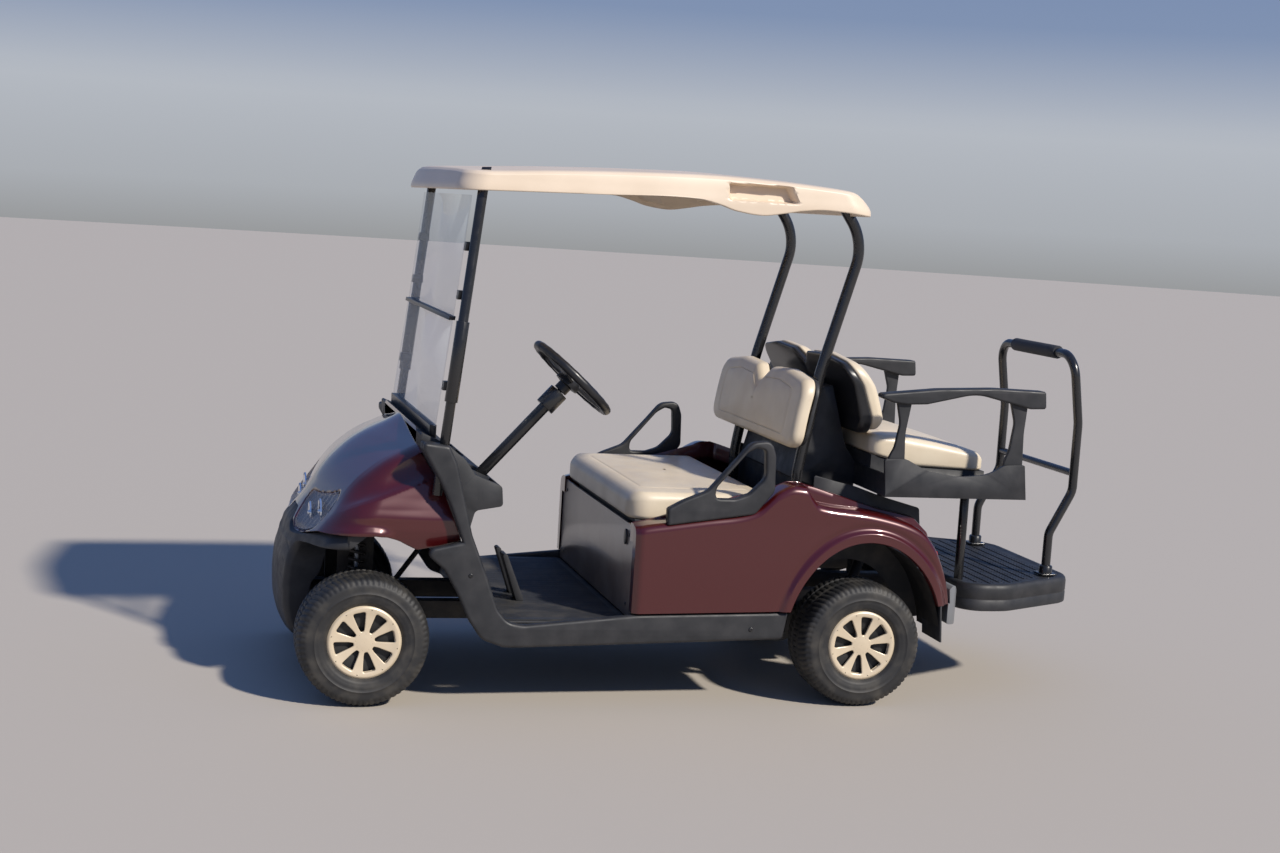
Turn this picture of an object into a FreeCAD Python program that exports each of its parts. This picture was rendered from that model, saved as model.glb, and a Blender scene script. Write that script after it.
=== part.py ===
import FreeCAD, Part
import math
import os

# Golf cart with a rear-facing seat, in millimetres.
# x is the cart's left, y runs back from the front axle, z is up from the ground.
# Every solid is moved at the end, so that the origin is the middle of the whole cart.

Vector = FreeCAD.Vector

# Driving dimensions of the running gear
wheelBase = 1670.0
frontTrack = 900.0
rearTrack = 978.0
tyreRadius = 212.7
coverRadius = 118.5
spindleRadius = 15.0
boreClearance = 0.05
seatGap = 0.3
kingpinX = 395.0
kingpinRadius = 8.0
knuckleBottom = 160.0
knuckleTop = 262.0
armReach = (-70.0, 105.0)
tieRodLength = 250.0
tieRodZ = 178.0

# Driving dimensions of the body
noseY = -252.0
tailY = 2565.0
halfWidth = 597.5
roofTop = 1768.0
floorTop = 285.0
sillBottom = 205.0
bodyHalf = 590.0
wall = 5.0

# Struts, roof and windshield
strutRadius = 16.0
frontStrutX = 535.0
rearStrutX = 349.0
rearStrutRadius = 19.0
roofHalf = 575.0
roofNose = 159.0
roofFront = 232.0
roofRear = 1615.0
shieldHalf = 500.0
shieldThick = 5.0

# Rear seat, footplate and grab bar
armPadX = (538.0, 592.0)
plateTop = 410.0
plateThick = 6.0
plateBottom = 315.0
plateHalf = 500.0
plateFront = 2060.0
plateWaist = 2230.0
plateRear = 2562.0
plateRearHalf = 330.0
barRadius = 16.0
barX = 300.0

originShift = Vector(0, -(noseY + tailY) / 2.0, 0)
os.makedirs("parts", exist_ok=True)


def place(plane, a, b, offset):
    """A point of a plane: yz lies across x, xz across y and xy across z."""
    if plane == "yz":
        return Vector(offset, a, b)
    if plane == "xz":
        return Vector(a, offset, b)
    return Vector(a, b, offset)


def rounded_edges(points, radii, closed):
    """Straight runs joined by tangent arcs through a list of corner points."""
    count = len(points)
    ends = []
    for i, point in enumerate(points):
        radius = radii[i]
        if radius <= 0 or (not closed and i in (0, count - 1)):
            ends.append((point, None, point))
            continue
        back = (points[i - 1] - point).normalize()
        ahead = (points[(i + 1) % count] - point).normalize()
        half = back.getAngle(ahead) / 2.0
        cut = radius / math.tan(half)
        middle = (back + ahead).normalize()
        ends.append((point + back * cut,
                     point + middle * (radius / math.sin(half) - radius),
                     point + ahead * cut))
    edges = []
    for i, (start, middle, end) in enumerate(ends):
        if i > 0 or closed:
            previous = ends[i - 1][2]
            if previous.distanceToPoint(start) > 1e-4:
                edges.append(Part.LineSegment(previous, start).toShape())
        if middle is not None:
            edges.append(Part.Arc(start, middle, end).toShape())
    return edges


def outline(corners, plane, offset):
    """Closed wire. A corner is (a, b) or (a, b, radius)."""
    points = [place(plane, c[0], c[1], offset) for c in corners]
    radii = [c[2] if len(c) > 2 else 0 for c in corners]
    return Part.Wire(Part.__sortEdges__(rounded_edges(points, radii, True)))


def slab(corners, plane, start, end):
    """The outline drawn at start and drawn out to end."""
    face = Part.Face(outline(corners, plane, start))
    return face.extrude(place(plane, 0, 0, end - start))


def box(x0, x1, y0, y1, z0, z1):
    return Part.makeBox(x1 - x0, y1 - y0, z1 - z0, Vector(x0, y0, z0))


def rod(start, end, radius):
    start, end = Vector(*start), Vector(*end)
    return Part.makeCylinder(radius, (end - start).Length, start, end - start)


def tube(path, radius):
    """Round bar along corner points (x, y, z, bend radius)."""
    points = [Vector(*p[:3]) for p in path]
    radii = [p[3] if len(p) > 3 else 0 for p in path]
    spine = Part.Wire(rounded_edges(points, radii, False))
    circle = Part.makeCircle(radius, points[0], points[1] - points[0])
    return spine.makePipeShell([Part.Wire(circle)], True, True)


def revolved(corners, centreX, y, z):
    """Ring of (x from its middle, radius, corner radius) about an axle along x."""
    profile = [(centreX + c[0], z + c[1]) + tuple(c[2:]) for c in corners]
    return Part.Face(outline(profile, "xz", y)).revolve(Vector(0, y, z), Vector(1, 0, 0), 360)


def mirrored(shape):
    return shape.mirror(Vector(0, 0, 0), Vector(1, 0, 0))


def both(shape):
    return [shape, mirrored(shape)]


def fuse(shapes):
    shapes = list(shapes)
    if len(shapes) == 1:
        return shapes[0]
    return shapes[0].multiFuse(shapes[1:]).removeSplitter()


def largest(shape):
    return max(shape.Solids, key=lambda s: s.Volume)


def cut(shape, tools):
    return shape.cut(list(tools))


def ellipse_prism(y, z, reachY, reachZ, x0, x1):
    """Upper and lower half ellipse about (y, z), drawn out from x0 to x1."""
    if reachY >= reachZ:
        curve = Part.Ellipse(Vector(x0, y + reachY, z), Vector(x0, y, z + reachZ), Vector(x0, y, z))
    else:
        curve = Part.Ellipse(Vector(x0, y, z + reachZ), Vector(x0, y + reachY, z), Vector(x0, y, z))
    return Part.Face(Part.Wire(curve.toShape())).extrude(Vector(x1 - x0, 0, 0))


nodes = {}


def keep(name, shapes):
    """Store a node: one solid, or several that don't touch."""
    if not isinstance(shapes, (list, tuple)):
        shapes = [shapes]
    solids = []
    for shape in shapes:
        solids += shape.Solids
    nodes[name] = solids


# Wheels and tyres

# x from the middle, radius
tyreHalf = [(78, 101.8), (78, 112.6), (82, 119.2), (102, 145), (100, 188), (84, 206), (50, tyreRadius)]
tyreProfile = [(-x, r) for x, r in tyreHalf] + tyreHalf[::-1]
rimLip = 84.0
rimProfile = [(-rimLip, 96), (-rimLip, 112), (-78.3, 112), (-78.3, 101.5), (78.3, 101.5),
              (78.3, 112), (rimLip, 112), (rimLip, 96)]
hubInner, hubOuter = -26.0, 45.0
coverProfile = [(66, 0), (78, 40), (82, 104), (82, coverRadius), (88, coverRadius), (91, 106), (84, 56), (83, 30), (87, 25),
                (87, 0)]
windowCount = 8


def tyre(centreX, y):
    return revolved(tyreProfile, centreX, y, tyreRadius)


def wheel(centreX, y):
    """Steel rim and hub with the eight-window cover, for the cart's left side."""
    bore = spindleRadius + boreClearance
    barrel = revolved(rimProfile, centreX, y, tyreRadius)
    hub = revolved([(hubInner, bore), (hubInner, 36), (8, 36), (8, 97), (14, 97), (14, 36), (hubOuter, 36),
                    (hubOuter, bore)], centreX, y, tyreRadius)
    cover = revolved(coverProfile, centreX, y, tyreRadius)
    window = slab([(-9, 43), (9, 43), (22.5, 94), (18, 100), (-18, 100), (-22.5, 94)], "yz",
                  centreX + 60, centreX + 100)
    window.translate(Vector(0, y, tyreRadius))
    windows = []
    for i in range(windowCount):
        turned = window.copy()
        turned.rotate(Vector(0, y, tyreRadius), Vector(1, 0, 0), 360.0 * i / windowCount)
        windows.append(turned)
    return fuse([barrel, hub, cut(cover, windows)])


for end, track, y in (("front", frontTrack, 0.0), ("rear", rearTrack, wheelBase)):
    keep("tyre_%s_left" % end, tyre(track / 2, y))
    keep("tyre_%s_right" % end, mirrored(tyre(track / 2, y)))
    keep("wheel_%s_left" % end, wheel(track / 2, y))
    keep("wheel_%s_right" % end, mirrored(wheel(track / 2, y)))

# Knuckles, tie rods and rack

armEnd = (kingpinX + armReach[0], armReach[1])
bossRadius = 18.0
steerArmZ = 186.0
spindleEnd = frontTrack / 2 + hubOuter + seatGap


def knuckle():
    upright = rod((kingpinX, 0, knuckleBottom), (kingpinX, 0, knuckleTop), 17)
    pin = rod((kingpinX, 0, knuckleBottom - 17), (kingpinX, 0, knuckleTop + 15), kingpinRadius)
    spindle = rod((kingpinX, 0, tyreRadius), (spindleEnd, 0, tyreRadius), spindleRadius)
    nut = rod((spindleEnd, 0, tyreRadius), (spindleEnd + 10, 0, tyreRadius), 22)
    arm = slab([(kingpinX + 14, -12, 8), (armEnd[0] + 12, armEnd[1] + 12, 10),
                (armEnd[0] - 13, armEnd[1] + 6, 8), (kingpinX - 16, -10, 8)], "xy",
               steerArmZ, steerArmZ + 12)
    stud = rod((armEnd[0], armEnd[1], steerArmZ + 6),
               (armEnd[0], armEnd[1], tieRodZ - 9), 5)
    return fuse([upright, pin, spindle, nut, arm, stud])


def tie_rod():
    eye = rod((armEnd[0], armEnd[1], tieRodZ - 8),
              (armEnd[0], armEnd[1], steerArmZ - seatGap), 12)
    inner = (armEnd[0] - tieRodLength, armEnd[1], tieRodZ)
    bar = rod((armEnd[0], armEnd[1], tieRodZ), inner, 7)
    ball = rod((inner[0], armEnd[1], tieRodZ - 9), (inner[0], armEnd[1], tieRodZ + 9), 11)
    bore = rod((armEnd[0], armEnd[1], 0), (armEnd[0], armEnd[1], 300), 5 + boreClearance)
    return cut(fuse([eye, bar, ball]), [bore])


for name, shape in (("knuckle", knuckle()), ("tie_rod", tie_rod())):
    keep(name + "_left", shape)
    keep(name + "_right", mirrored(shape))

# Chassis frame: two rails with a kick over the rear axle, cross members, shock towers

railX, railHalf = 170.0, 25.0
floorHalf = 545.7
railLow, railHigh = 215.0, 275.0
shockTopZ = 545.0
kickY, rearRailLow, rearRailHigh = 1330.0, 335.0, 385.0
frameRear = 1955.0
rail = slab([(-190, railLow), (kickY, railLow), (kickY + 90, rearRailLow), (frameRear, rearRailLow),
             (frameRear, rearRailHigh), (kickY + 66, rearRailHigh), (kickY - 24, railHigh),
             (-190, railHigh)], "yz", railX - railHalf, railX + railHalf)
# y0, y1, half length along x, z0, z1
memberLow, memberTop = 225.0, 272.0
crossMembers = [(405, 445, floorHalf, memberLow, memberTop), (850, 912, floorHalf, memberLow, memberTop),
                (1290, 1330, floorHalf, memberLow, memberTop), (1440, 1500, 372, 335, 375),
                (1925, 1955, 350, 343, 375)]
members = [box(-m[2], m[2], m[0], m[1], m[3], m[4]) for m in crossMembers]
towers = []
for s in (-1, 1):
    towers.append(box(min(s * 186, s * 196), max(s * 186, s * 196), -60, 60, railHigh - 5, 565))
towers.append(box(-245, 245, -45, 45, shockTopZ, 565))
hangers = []
for s in (-1, 1):
    for y in (1375, 1965):
        for x in (270, 330.5):
            hangers.append(box(min(s * x - 4, s * x + 4), max(s * x - 4, s * x + 4),
                               y - 18, y + 18, 308, 350))
    hangers.append(box(min(s * 190, s * 345), max(s * 190, s * 345), 1357, 1393, 342, 366))
shockBridge = [box(-262, 262, 1765, 1800, 460, 490)] + both(box(150, 190, 1765, 1800, 380, 465))
armBrackets = both(box(railX + railHalf - 10, railX + railHalf, -62, 62, 182, railLow + 10))
frame = fuse(both(rail) + members + towers + hangers + shockBridge + armBrackets)
keep("chassis_frame", frame)

# Tow member between the rails' front ends, with its pin hole
towPin = (0, -165)
towPinRadius = 8.5
towHalf = railX - railHalf - seatGap
towMember = box(-towHalf, towHalf, -190, -140, memberLow, 265)
keep("tow_member", cut(towMember, [rod(towPin + (200,), towPin + (300,), towPinRadius)]))

# Seat support: four posts on the cross members, with a rail on each side and two cross bars
seatRail, seatRailLow, seatRailTop = (345.0, 370.0), 574.0, 599.7
seatTube = seatRail[1] - seatRail[0]
seatPosts = [box(*seatRail, y, y + seatTube, memberTop + seatGap, seatRailLow + 1) for y in (885, 1295)]
seatPosts.append(box(*seatRail, 885, 1350, seatRailLow, seatRailTop))
seatCross = [box(-360, 360, y, y + seatTube, seatRailLow, seatRailTop) for y in (885, 1325)]
keep("seat_support", fuse(seatCross + seatPosts + [mirrored(s) for s in seatPosts]))

# Step frame: two arms under the rails' rear ends carry the footplate on two cross bars
stepTube = 30.0
stepArmTop = rearRailLow - seatGap
stepArms = both(box(railX - stepTube / 2, railX + stepTube / 2, frameRear - 60, 2500, stepArmTop - stepTube, stepArmTop))
# half length, y0, y1
stepBars = [(420, 2078, 2112), (330, 2450, 2490)]
stepFrame = fuse(stepArms + [box(-half, half, y0, y1, stepArmTop - 8, plateTop - plateThick - seatGap)
                             for half, y0, y1 in stepBars])
keep("step_frame", stepFrame)

# Front arms and coil-over shocks

armPivotX = railX + railHalf
lowerEar, upperEar = (45.0, 196.0), (50.0, 300.0)
shockX, shockTopX = 238.0, 222.0
shockLowZ = 196.5
coilTurns = 6


def front_arm():
    lowBoss = rod((kingpinX, 0, knuckleBottom - 18), (kingpinX, 0, knuckleBottom - seatGap), bossRadius)
    topBoss = rod((kingpinX, 0, knuckleTop + seatGap), (kingpinX, 0, knuckleTop + 16), bossRadius)
    lower = [lowBoss] + [rod((armPivotX - 4, s * lowerEar[0], lowerEar[1]),
                             (kingpinX - 8, s * 4, knuckleBottom - 15), 10) for s in (-1, 1)]
    lower.append(rod((shockX, -36, 187), (shockX, 36, 187), 9))
    upper = [topBoss] + [rod((armPivotX - 4, s * upperEar[0], upperEar[1]),
                             (kingpinX - 8, s * 3, knuckleTop + 8), 7) for s in (-1, 1)]
    bore = rod((kingpinX, 0, 0), (kingpinX, 0, 400), kingpinRadius + boreClearance)
    return [largest(cut(fuse(lower), [bore, frame])), largest(cut(fuse(upper), [bore, frame]))]


def coil_over():
    low, high = Vector(shockX, 0, shockLowZ), Vector(shockTopX, 0, shockTopZ + 6)
    length = (high - low).Length
    start, pitch = 0.32 * length, 0.6 * length / coilTurns
    profile = [Vector(0, 0, 0), Vector(17, 0, 0), Vector(17, 0, start)]
    for i in range(coilTurns):
        profile += [Vector(27, 0, start + pitch * (i + 0.5)), Vector(19, 0, start + pitch * (i + 1))]
    profile += [Vector(19, 0, length), Vector(0, 0, length)]
    damper = Part.Face(Part.makePolygon(profile + profile[:1])).revolve(Vector(0, 0, 0), Vector(0, 0, 1), 360)
    damper.Placement = FreeCAD.Placement(low, FreeCAD.Rotation(Vector(0, 0, 1), high - low))
    return cut(damper, [frame] + arms)


arms = front_arm()
shocks = both(coil_over())
keep("front_arms", arms + [mirrored(a) for a in arms])
keep("front_shocks", shocks)

# Steering rack: a cover plate under the rails, with the pinion housing

rackHalf = 190.0
plate = box(-rackHalf, rackHalf, armEnd[1] - 35, armEnd[1] + 35, railLow - 8, railLow - seatGap)
housing = box(-22, 22, armEnd[1] - 22, armEnd[1] + 22, tieRodZ - 18, railLow - 4)
pinion = rod((60, armEnd[1], railLow - 4), (60, armEnd[1], railLow + 40), 16)
rack = fuse([plate, housing, pinion])
keep("steering_rack", rack)

# Rear axle with gear case and motor, leaf springs, shocks

axleTube = [rod((0, wheelBase, tyreRadius), (375, wheelBase, tyreRadius), 32),
            rod((370, wheelBase, tyreRadius), (380, wheelBase, tyreRadius), 48),
            rod((370, wheelBase, tyreRadius), (rearTrack / 2 + hubOuter + seatGap, wheelBase, tyreRadius),
                spindleRadius),
            rod((rearTrack / 2 + hubOuter + seatGap, wheelBase, tyreRadius),
                (rearTrack / 2 + hubOuter + 10, wheelBase, tyreRadius), 22)]
motorY, motorZ, motorRadius = 1487.0, 232.0, 82.0
gearCase = slab([(wheelBase + 88, 140, 60), (wheelBase + 88, 290, 60), (motorY, 300, 60),
                 (motorY - 70, 290, 50), (motorY - 70, 170, 50), (motorY, 150, 60)], "yz", -45, 50)
motor = rod((50, motorY, motorZ), (245, motorY, motorZ), motorRadius)
springX, springHalf, leafThick, leafRadius = 300.0, 25.0, 8.0, 900.0
seatTop = tyreRadius + 42.0
pads = [box(springX - 30, springX + 30, wheelBase - 45, wheelBase + 45, tyreRadius + 20, seatTop)]
ears = [rod((238, wheelBase + 20, 240), (238, wheelBase + 56, 240), 12),
        box(226, 250, wheelBase + 10, wheelBase + 40, 225, 250)]
halfAxle = axleTube + pads + ears
axle = fuse(halfAxle + [mirrored(s) for s in halfAxle] + [gearCase, motor])
keep("rear_axle", axle)

leafs = []
for i, half in enumerate((150.0, 220.0, 295.0)):
    centre = Vector(springX - springHalf, wheelBase, seatTop + leafRadius)
    big, small = leafRadius - leafThick * i, leafRadius - leafThick * (i + 1)
    ring = Part.makeCylinder(big, 2 * springHalf, centre, Vector(1, 0, 0))
    ring = ring.cut(Part.makeCylinder(small, 2 * springHalf, centre, Vector(1, 0, 0)))
    leafs.append(ring.common(box(0, 400, wheelBase - half, wheelBase + half, 0, 400)))
eyeZ = seatTop + leafRadius - math.sqrt((leafRadius - 2.5 * leafThick) ** 2 - 295.0 ** 2)
eyes = [rod((springX - springHalf, wheelBase + s * 295, eyeZ),
            (springX + springHalf, wheelBase + s * 295, eyeZ), 14) for s in (-1, 1)]
spring = fuse(leafs + eyes)
keep("leaf_springs", both(spring))
rearShock = cut(rod((238, wheelBase + 38, 250), (238, 1782, 462), 18), [frame, axle])
keep("rear_shocks", both(largest(rearShock)))

# Battery block under the front seat

keep("battery_pack", box(-330, 330, 925, 1280, railHigh, 560))

# Floor pan with toe board, floor mat

floorThick = 8.0
toe = [(298, 540), (322, 430), (352, 340), (404, floorTop), (1388, floorTop),
       (1388, floorTop - floorThick), (400, floorTop - floorThick), (345, 335), (314, 428), (290, 540)]
floorPan = slab(toe, "yz", -floorHalf, floorHalf)
floorPan = cut(floorPan, [box(-540, 540, 870, 1400, floorTop - 20, floorTop + 20)] +
               [box(-600, 600, 250, 400, 200, floorTop - 8)])
matTop = floorTop + 6.0
keep("floor_mat", slab([(-536, 410, 20), (536, 410, 20), (536, 858, 5), (-536, 858, 5)], "xy",
                       floorTop, matTop))

# Cowl: z, y at the nose, half width, y and radius of the front corner, radius of the nose
cowlSections = [
    (505, -190, 520, -105, 110, 900),
    (553, -186, 534, -105, 110, 900),
    (606, -158, 544, -88, 100, 900),
    (675, -122, 505, -40, 90, 900),
    (740, -70, 480, 10, 80, 900),
    (785, -28, 466, 70, 60, 800),
    (820, 26, 452, 150, 50, 700),
    (855, 88, 420, 215, 40, 600),
    (886, 140, 380, 260, 30, 500),
]
cowlRear = [(300, 490), (292, 546), (246, 666), (206, 746), (152, 838), (152, 900), (440, 900), (440, 490)]
cowlUnder = [(-300, 566), (-195, 556), (-103, 552), (11, 560), (101, 540), (160, 512), (292, 546),
             (301, 440), (-300, 440)]


def cowl_loft(inset, lower):
    wires = []
    for z, nose, half, cornerY, cornerRadius, noseRadius in cowlSections:
        wires.append(outline([(half - inset, 420), (half - inset, cornerY + inset, cornerRadius - inset),
                              (0, nose + inset * 1.3, noseRadius),
                              (-half + inset, cornerY + inset, cornerRadius - inset),
                              (-half + inset, 420)], "xy", z - lower))
    return Part.makeLoft(wires, True, True)


cowlOuter = cut(cowl_loft(0, 0), [slab(cowlRear, "yz", -700, 700), slab(cowlUnder, "yz", -700, 700)])
cowl = cut(cowlOuter, [cowl_loft(wall, wall)])
lampCut = ellipse_prism(-62, 690, 80, 42, 0, 500)
lampCut.rotate(Vector(0, -62, 690), Vector(1, 0, 0), 32)
lampCut = lampCut.common(box(290, 430, -300, 200, 560, 900))
lamps = both(lampCut)
keep("floor_pan", floorPan)
cowlShell = cut(cowl, lamps)
keep("front_cowl", largest(cowlShell))
keep("headlights", [cowl.common(l) for l in lamps])

# Front bumper: a wide shelf under the cowl over a narrow chin. Side view, then plan and front view
bumperSide = [(-120, 600), (-178, 578, 12), (-214, 523, 40), (-237, 447, 60), (-248, 401, 60), (noseY, 335, 60),
              (-249, 262, 60), (-237, 209, 40), (-205, 160, 10), (-175, 160), (-107, 430, 40), (-60, 500), (-60, 600)]
noseTrim = 3.0
bumperHalf, chinHalf, flankOut = 524.0, 225.0, 16.0
shelfTop = 566.0
# y of the corner to the flank, and x, y of the front beside the nose
bumperCorner, besideNose = -140.0, (200.0, -238.0)
# z of the shelf's underside at the flank, x, z of it further in, z where it meets the chin
shelfFlank, shelfInner, chinTop = 505.0, (300.0, 490.0), 430.0


def bumper_block(inset):
    """Where side view, plan and front view meet, all drawn in by the inset."""
    side, rear = bumperSide, -60
    if inset:
        (highY, highZ, _), (lowY, lowZ, _) = bumperSide[1:3]
        shelfY = highY + (lowY - highY) * (highZ - shelfTop) / (highZ - lowZ)
        side = [(0, shelfTop), (shelfY + inset, shelfTop)]
        side += [(y + inset, z) + tuple(rest) for y, z, *rest in bumperSide[2:8]] + [(-198 + inset, 150), (0, 150)]
        rear = 0
    half, chin, flank = bumperHalf - inset, chinHalf - inset, bumperHalf - inset + flankOut
    x, y = besideNose
    plan = [(-half, rear), (-half, bumperCorner, 60), (-x, y + inset, 400), (0, noseY - noseTrim + inset, 900),
            (x, y + inset, 400), (half, bumperCorner, 60), (half, rear)]
    x, z = shelfInner
    under = [(flank, shelfFlank + inset, 20), (x, z + inset, 60), (chin, chinTop + inset, 50)]
    front = [(-flank, 600)] + [(-x, z, r) for x, z, r in under] + [(-chin, 100), (chin, 100)] + under[::-1]
    front += [(flank, 600)]
    block = slab(side, "yz", -flank, flank).common(slab(plan, "xy", 100, 700))
    return block.common(slab(front, "xz", -400, 0))


bumper = cut(bumper_block(0), [bumper_block(wall + 1), cowlOuter])
keep("front_bumper", largest(bumper))

# Side trim: the black band behind the fender, down to the sill
trimSide = [(292, 546), (246, 666), (206, 746), (152, 838), (152, 862, 8), (236, 852, 10), (262, 800),
            (280, 730, 40), (322, 569, 60), (376, 437, 60), (416, 330, 60), (450, 288, 60), (500, 278, 100),
            (880, 314), (1400, 325, 8), (1385, 233, 15), (500, sillBottom, 60), (440, 205, 60),
            (367, 231, 60), (325, 291, 60), (280, 384, 60), (237, 456), (163, 518)]
trimInner, sillInner = 500.0, 546.0
trim = slab(trimSide, "yz", trimInner, 580)
trim = cut(trim, [box(490, sillInner, 150, 1500, 150, 700), cowlOuter,
                  box(500, 580, 855, 1420, 318, 400)])
frontStrutPath = [(frontStrutX, 208, 690), (frontStrutX, 304, 1652)]
sleeveStart, sleeveEnd, strutHead = 0.31, 0.575, 1.092


def strut_point(share):
    low, high = frontStrutPath
    return tuple(a + (b - a) * share for a, b in zip(low, high))


strut = rod(frontStrutPath[0], strut_point(strutHead), strutRadius)
sleeve = rod(strut_point(sleeveStart), strut_point(sleeveEnd), strutRadius + 5)
frontStrut = fuse([strut, sleeve])
trim = cut(trim, [frontStrut])
keep("side_trim", both(largest(trim)))

# Dash with two cup trays
dashSide = [(153, 838), (153, 884, 6), (232, 852, 20), (300, 800, 40), (334, 752, 10), (424, 716, 12),
            (430, 652, 12), (340, 636, 20), (318, 548), (293, 548), (247, 667), (207, 747)]
dash = slab(dashSide, "yz", -trimInner + seatGap, trimInner - seatGap)
trays = both(box(350, 470, 348, 410, 668, 760)) + both(box(130, 330, 348, 410, 668, 760))
dash = cut(dash, trays + [cowlOuter])
columnFoot, columnTop = Vector(290, 341, 675), Vector(290, 640, 1009)
columnAxis = (columnTop - columnFoot).normalize()
column = Part.makeCylinder(19, (columnTop - columnFoot).Length, columnFoot, columnAxis)
collar = Part.makeCylinder(34, 70, columnTop - columnAxis * 72, columnAxis)
shaft = Part.makeCylinder(9, 46, columnTop - columnAxis * 4, columnAxis)
lowShaft = rod(tuple(columnFoot + columnAxis * 6), (62, armEnd[1] + 4, railLow + 42), 9)
steering = cut(fuse([column, collar, shaft, lowShaft]), [rack])
keep("steering_column", steering)
dash = cut(dash, [Part.makeCylinder(22, 200, columnFoot - columnAxis * 60, columnAxis),
                  rod(tuple(columnFoot + columnAxis * 20), (62, armEnd[1] + 4, railLow + 42), 16)])
keep("dash_panel", largest(dash))

# Steering wheel about the column's axis
wheelCentre = columnTop + columnAxis * 62
rimMajor, rimMinor = 158.0, 14.0
gripSection = [Vector(rimMajor + rimMinor * math.cos(math.radians(a)), 0, rimMinor * math.sin(math.radians(a)))
               for a in range(0, 360, 60)]
ringShape = Part.Face(Part.makePolygon(gripSection + gripSection[:1])).revolve(Vector(0, 0, 0), Vector(0, 0, 1), 360)
hubShape = Part.makeCylinder(42, 34, Vector(0, 0, -34))
boss = Part.makeCylinder(24, 26, Vector(0, 0, -58))
spokes = []
for angle in (90, 210, 330):
    spoke = slab([(-17, 0), (17, 0), (13, rimMajor), (-13, rimMajor)], "xy", -14, -5)
    spoke.rotate(Vector(0, 0, 0), Vector(0, 0, 1), angle)
    spokes.append(spoke)
steerWheel = fuse([ringShape, hubShape, boss] + spokes)
steerWheel = cut(steerWheel, [Part.makeCylinder(9 + boreClearance, 50, Vector(0, 0, -60))])
turnToAxis = FreeCAD.Rotation(Vector(0, 0, 1), columnAxis)
steerWheel.Placement = FreeCAD.Placement(wheelCentre, turnToAxis)
keep("steering_wheel", steerWheel)

# Pedals: brake and accelerator on floor brackets
pedals = []
for x, half in ((225, 34), (110, 24)):
    plate = slab([(566, matTop, 2), (500, 452, 8), (486, 446, 6), (540, matTop)], "yz", x - half, x + half)
    pedals.append(plate)
keep("pedals", pedals)

# Windshield in two halves with a hinge bar, base strip and clips
lowEdge, midLow, midHigh, topEdge = (199, 905), (237, 1244), (239, 1256), (278, 1640)


def pane(low, high):
    return slab([low, high, (high[0] - shieldThick, high[1]), (low[0] - shieldThick, low[1])],
                "yz", -shieldHalf, shieldHalf)


def pane_back(z):
    low, high = (lowEdge, midLow) if z < midLow[1] else (midHigh, topEdge)
    return low[0] + (high[0] - low[0]) * (z - low[1]) / (high[1] - low[1]) + seatGap


keep("windshield_lower", pane(lowEdge, midLow))
keep("windshield_upper", pane(midHigh, topEdge))
hingeBar = slab([(midLow[0] - 14, midLow[1]), (midLow[0] + 6, midLow[1]), (midHigh[0] + 6, midHigh[1]),
                 (midHigh[0] - 14, midHigh[1])], "yz", -shieldHalf, shieldHalf)
baseStrip = slab([(184, 872), (206, 863), (206, 905), (184, 905)], "yz", -470, 470)
clips = []
for s in (-1, 1):
    for share in (0.36, 0.66, 0.82):
        at = strut_point(share)
        low, high = at[2] - 14, at[2] + 14
        clips.append(slab([(pane_back(low), low), (at[1] + 10, low), (at[1] + 10, high), (pane_back(high), high)],
                          "yz", s * 484, s * 521))
keep("windshield_fittings", [hingeBar, baseStrip] + [cut(c, both(frontStrut)) for c in clips])

# Roof: bowed in front, crowned in side view and end view, with a deep rim, hollow from below
crownSide = [(roofNose - 90, 1500), (roofNose - 90, 1695), (213, 1729, 120), (537, 1750, 300), (848, roofTop, 600),
             (1276, 1761, 300), (1542, 1744, 60), (roofRear + 45, 1640), (roofRear + 45, 1500)]
crownEnd = [(-roofHalf - 65, 1500), (-roofHalf - 65, 1738), (-roofHalf + 35, 1757, 60), (0, roofTop + 4, 900),
            (roofHalf - 35, 1757, 60), (roofHalf + 65, 1738), (roofHalf + 65, 1500)]
rimWall, roofThick = 22.0, 6.0
# z, then how far the rim leans in at the sides, in front and at the rear
rimLean = [(1590, 0, 0, 0), (1658, 0, 0, 0), (1735, 12, 32, 46), (1800, 44, 74, 92)]
# Lower edge in side view, dipping under the hand-holds
rimLow = [(0, 1500), (0, 1650), (250, 1655, 300), (700, 1667, 400), (1010, 1677, 90), (1130, 1637, 90), (1214, 1628, 90),
          (1292, 1641, 90), (1415, 1664, 90), (1700, 1644), (1700, 1500)]
holdFloor, holdTop, holdDepth = 1672.0, 1730.0, 46.0
holdFront, holdRear, holdRearTop = 1100.0, 1338.0, 1312.0


def roof_body(inset, drop):
    wires = []
    for z, side, front, rear in rimLean:
        half, corner = roofHalf - side - inset, 90 - inset
        wires.append(outline([(-half, roofFront + front + inset, corner), (0, roofNose + front + inset, 1500),
                              (half, roofFront + front + inset, corner), (half, roofRear - rear - inset, corner),
                              (-half, roofRear - rear - inset, corner)], "xy", z - drop))
    side = slab([(y, z - drop) + tuple(rest) for y, z, *rest in crownSide], "yz", -700, 700)
    end = slab([(x, z - drop) + tuple(rest) for x, z, *rest in crownEnd], "xz", 0, 1800)
    return Part.makeLoft(wires, True, True).common(side).common(end)


def hand_hold(grow, top):
    lean = (holdRear - holdRearTop) * (top - holdFloor) / (holdTop - holdFloor)
    return both(slab([(holdFront - grow, holdFloor - grow), (holdRear + grow, holdFloor - grow),
                      (holdRear + grow - lean, top), (holdFront - grow, top)], "yz",
                     roofHalf - holdDepth - grow, roofHalf + 40))


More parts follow.
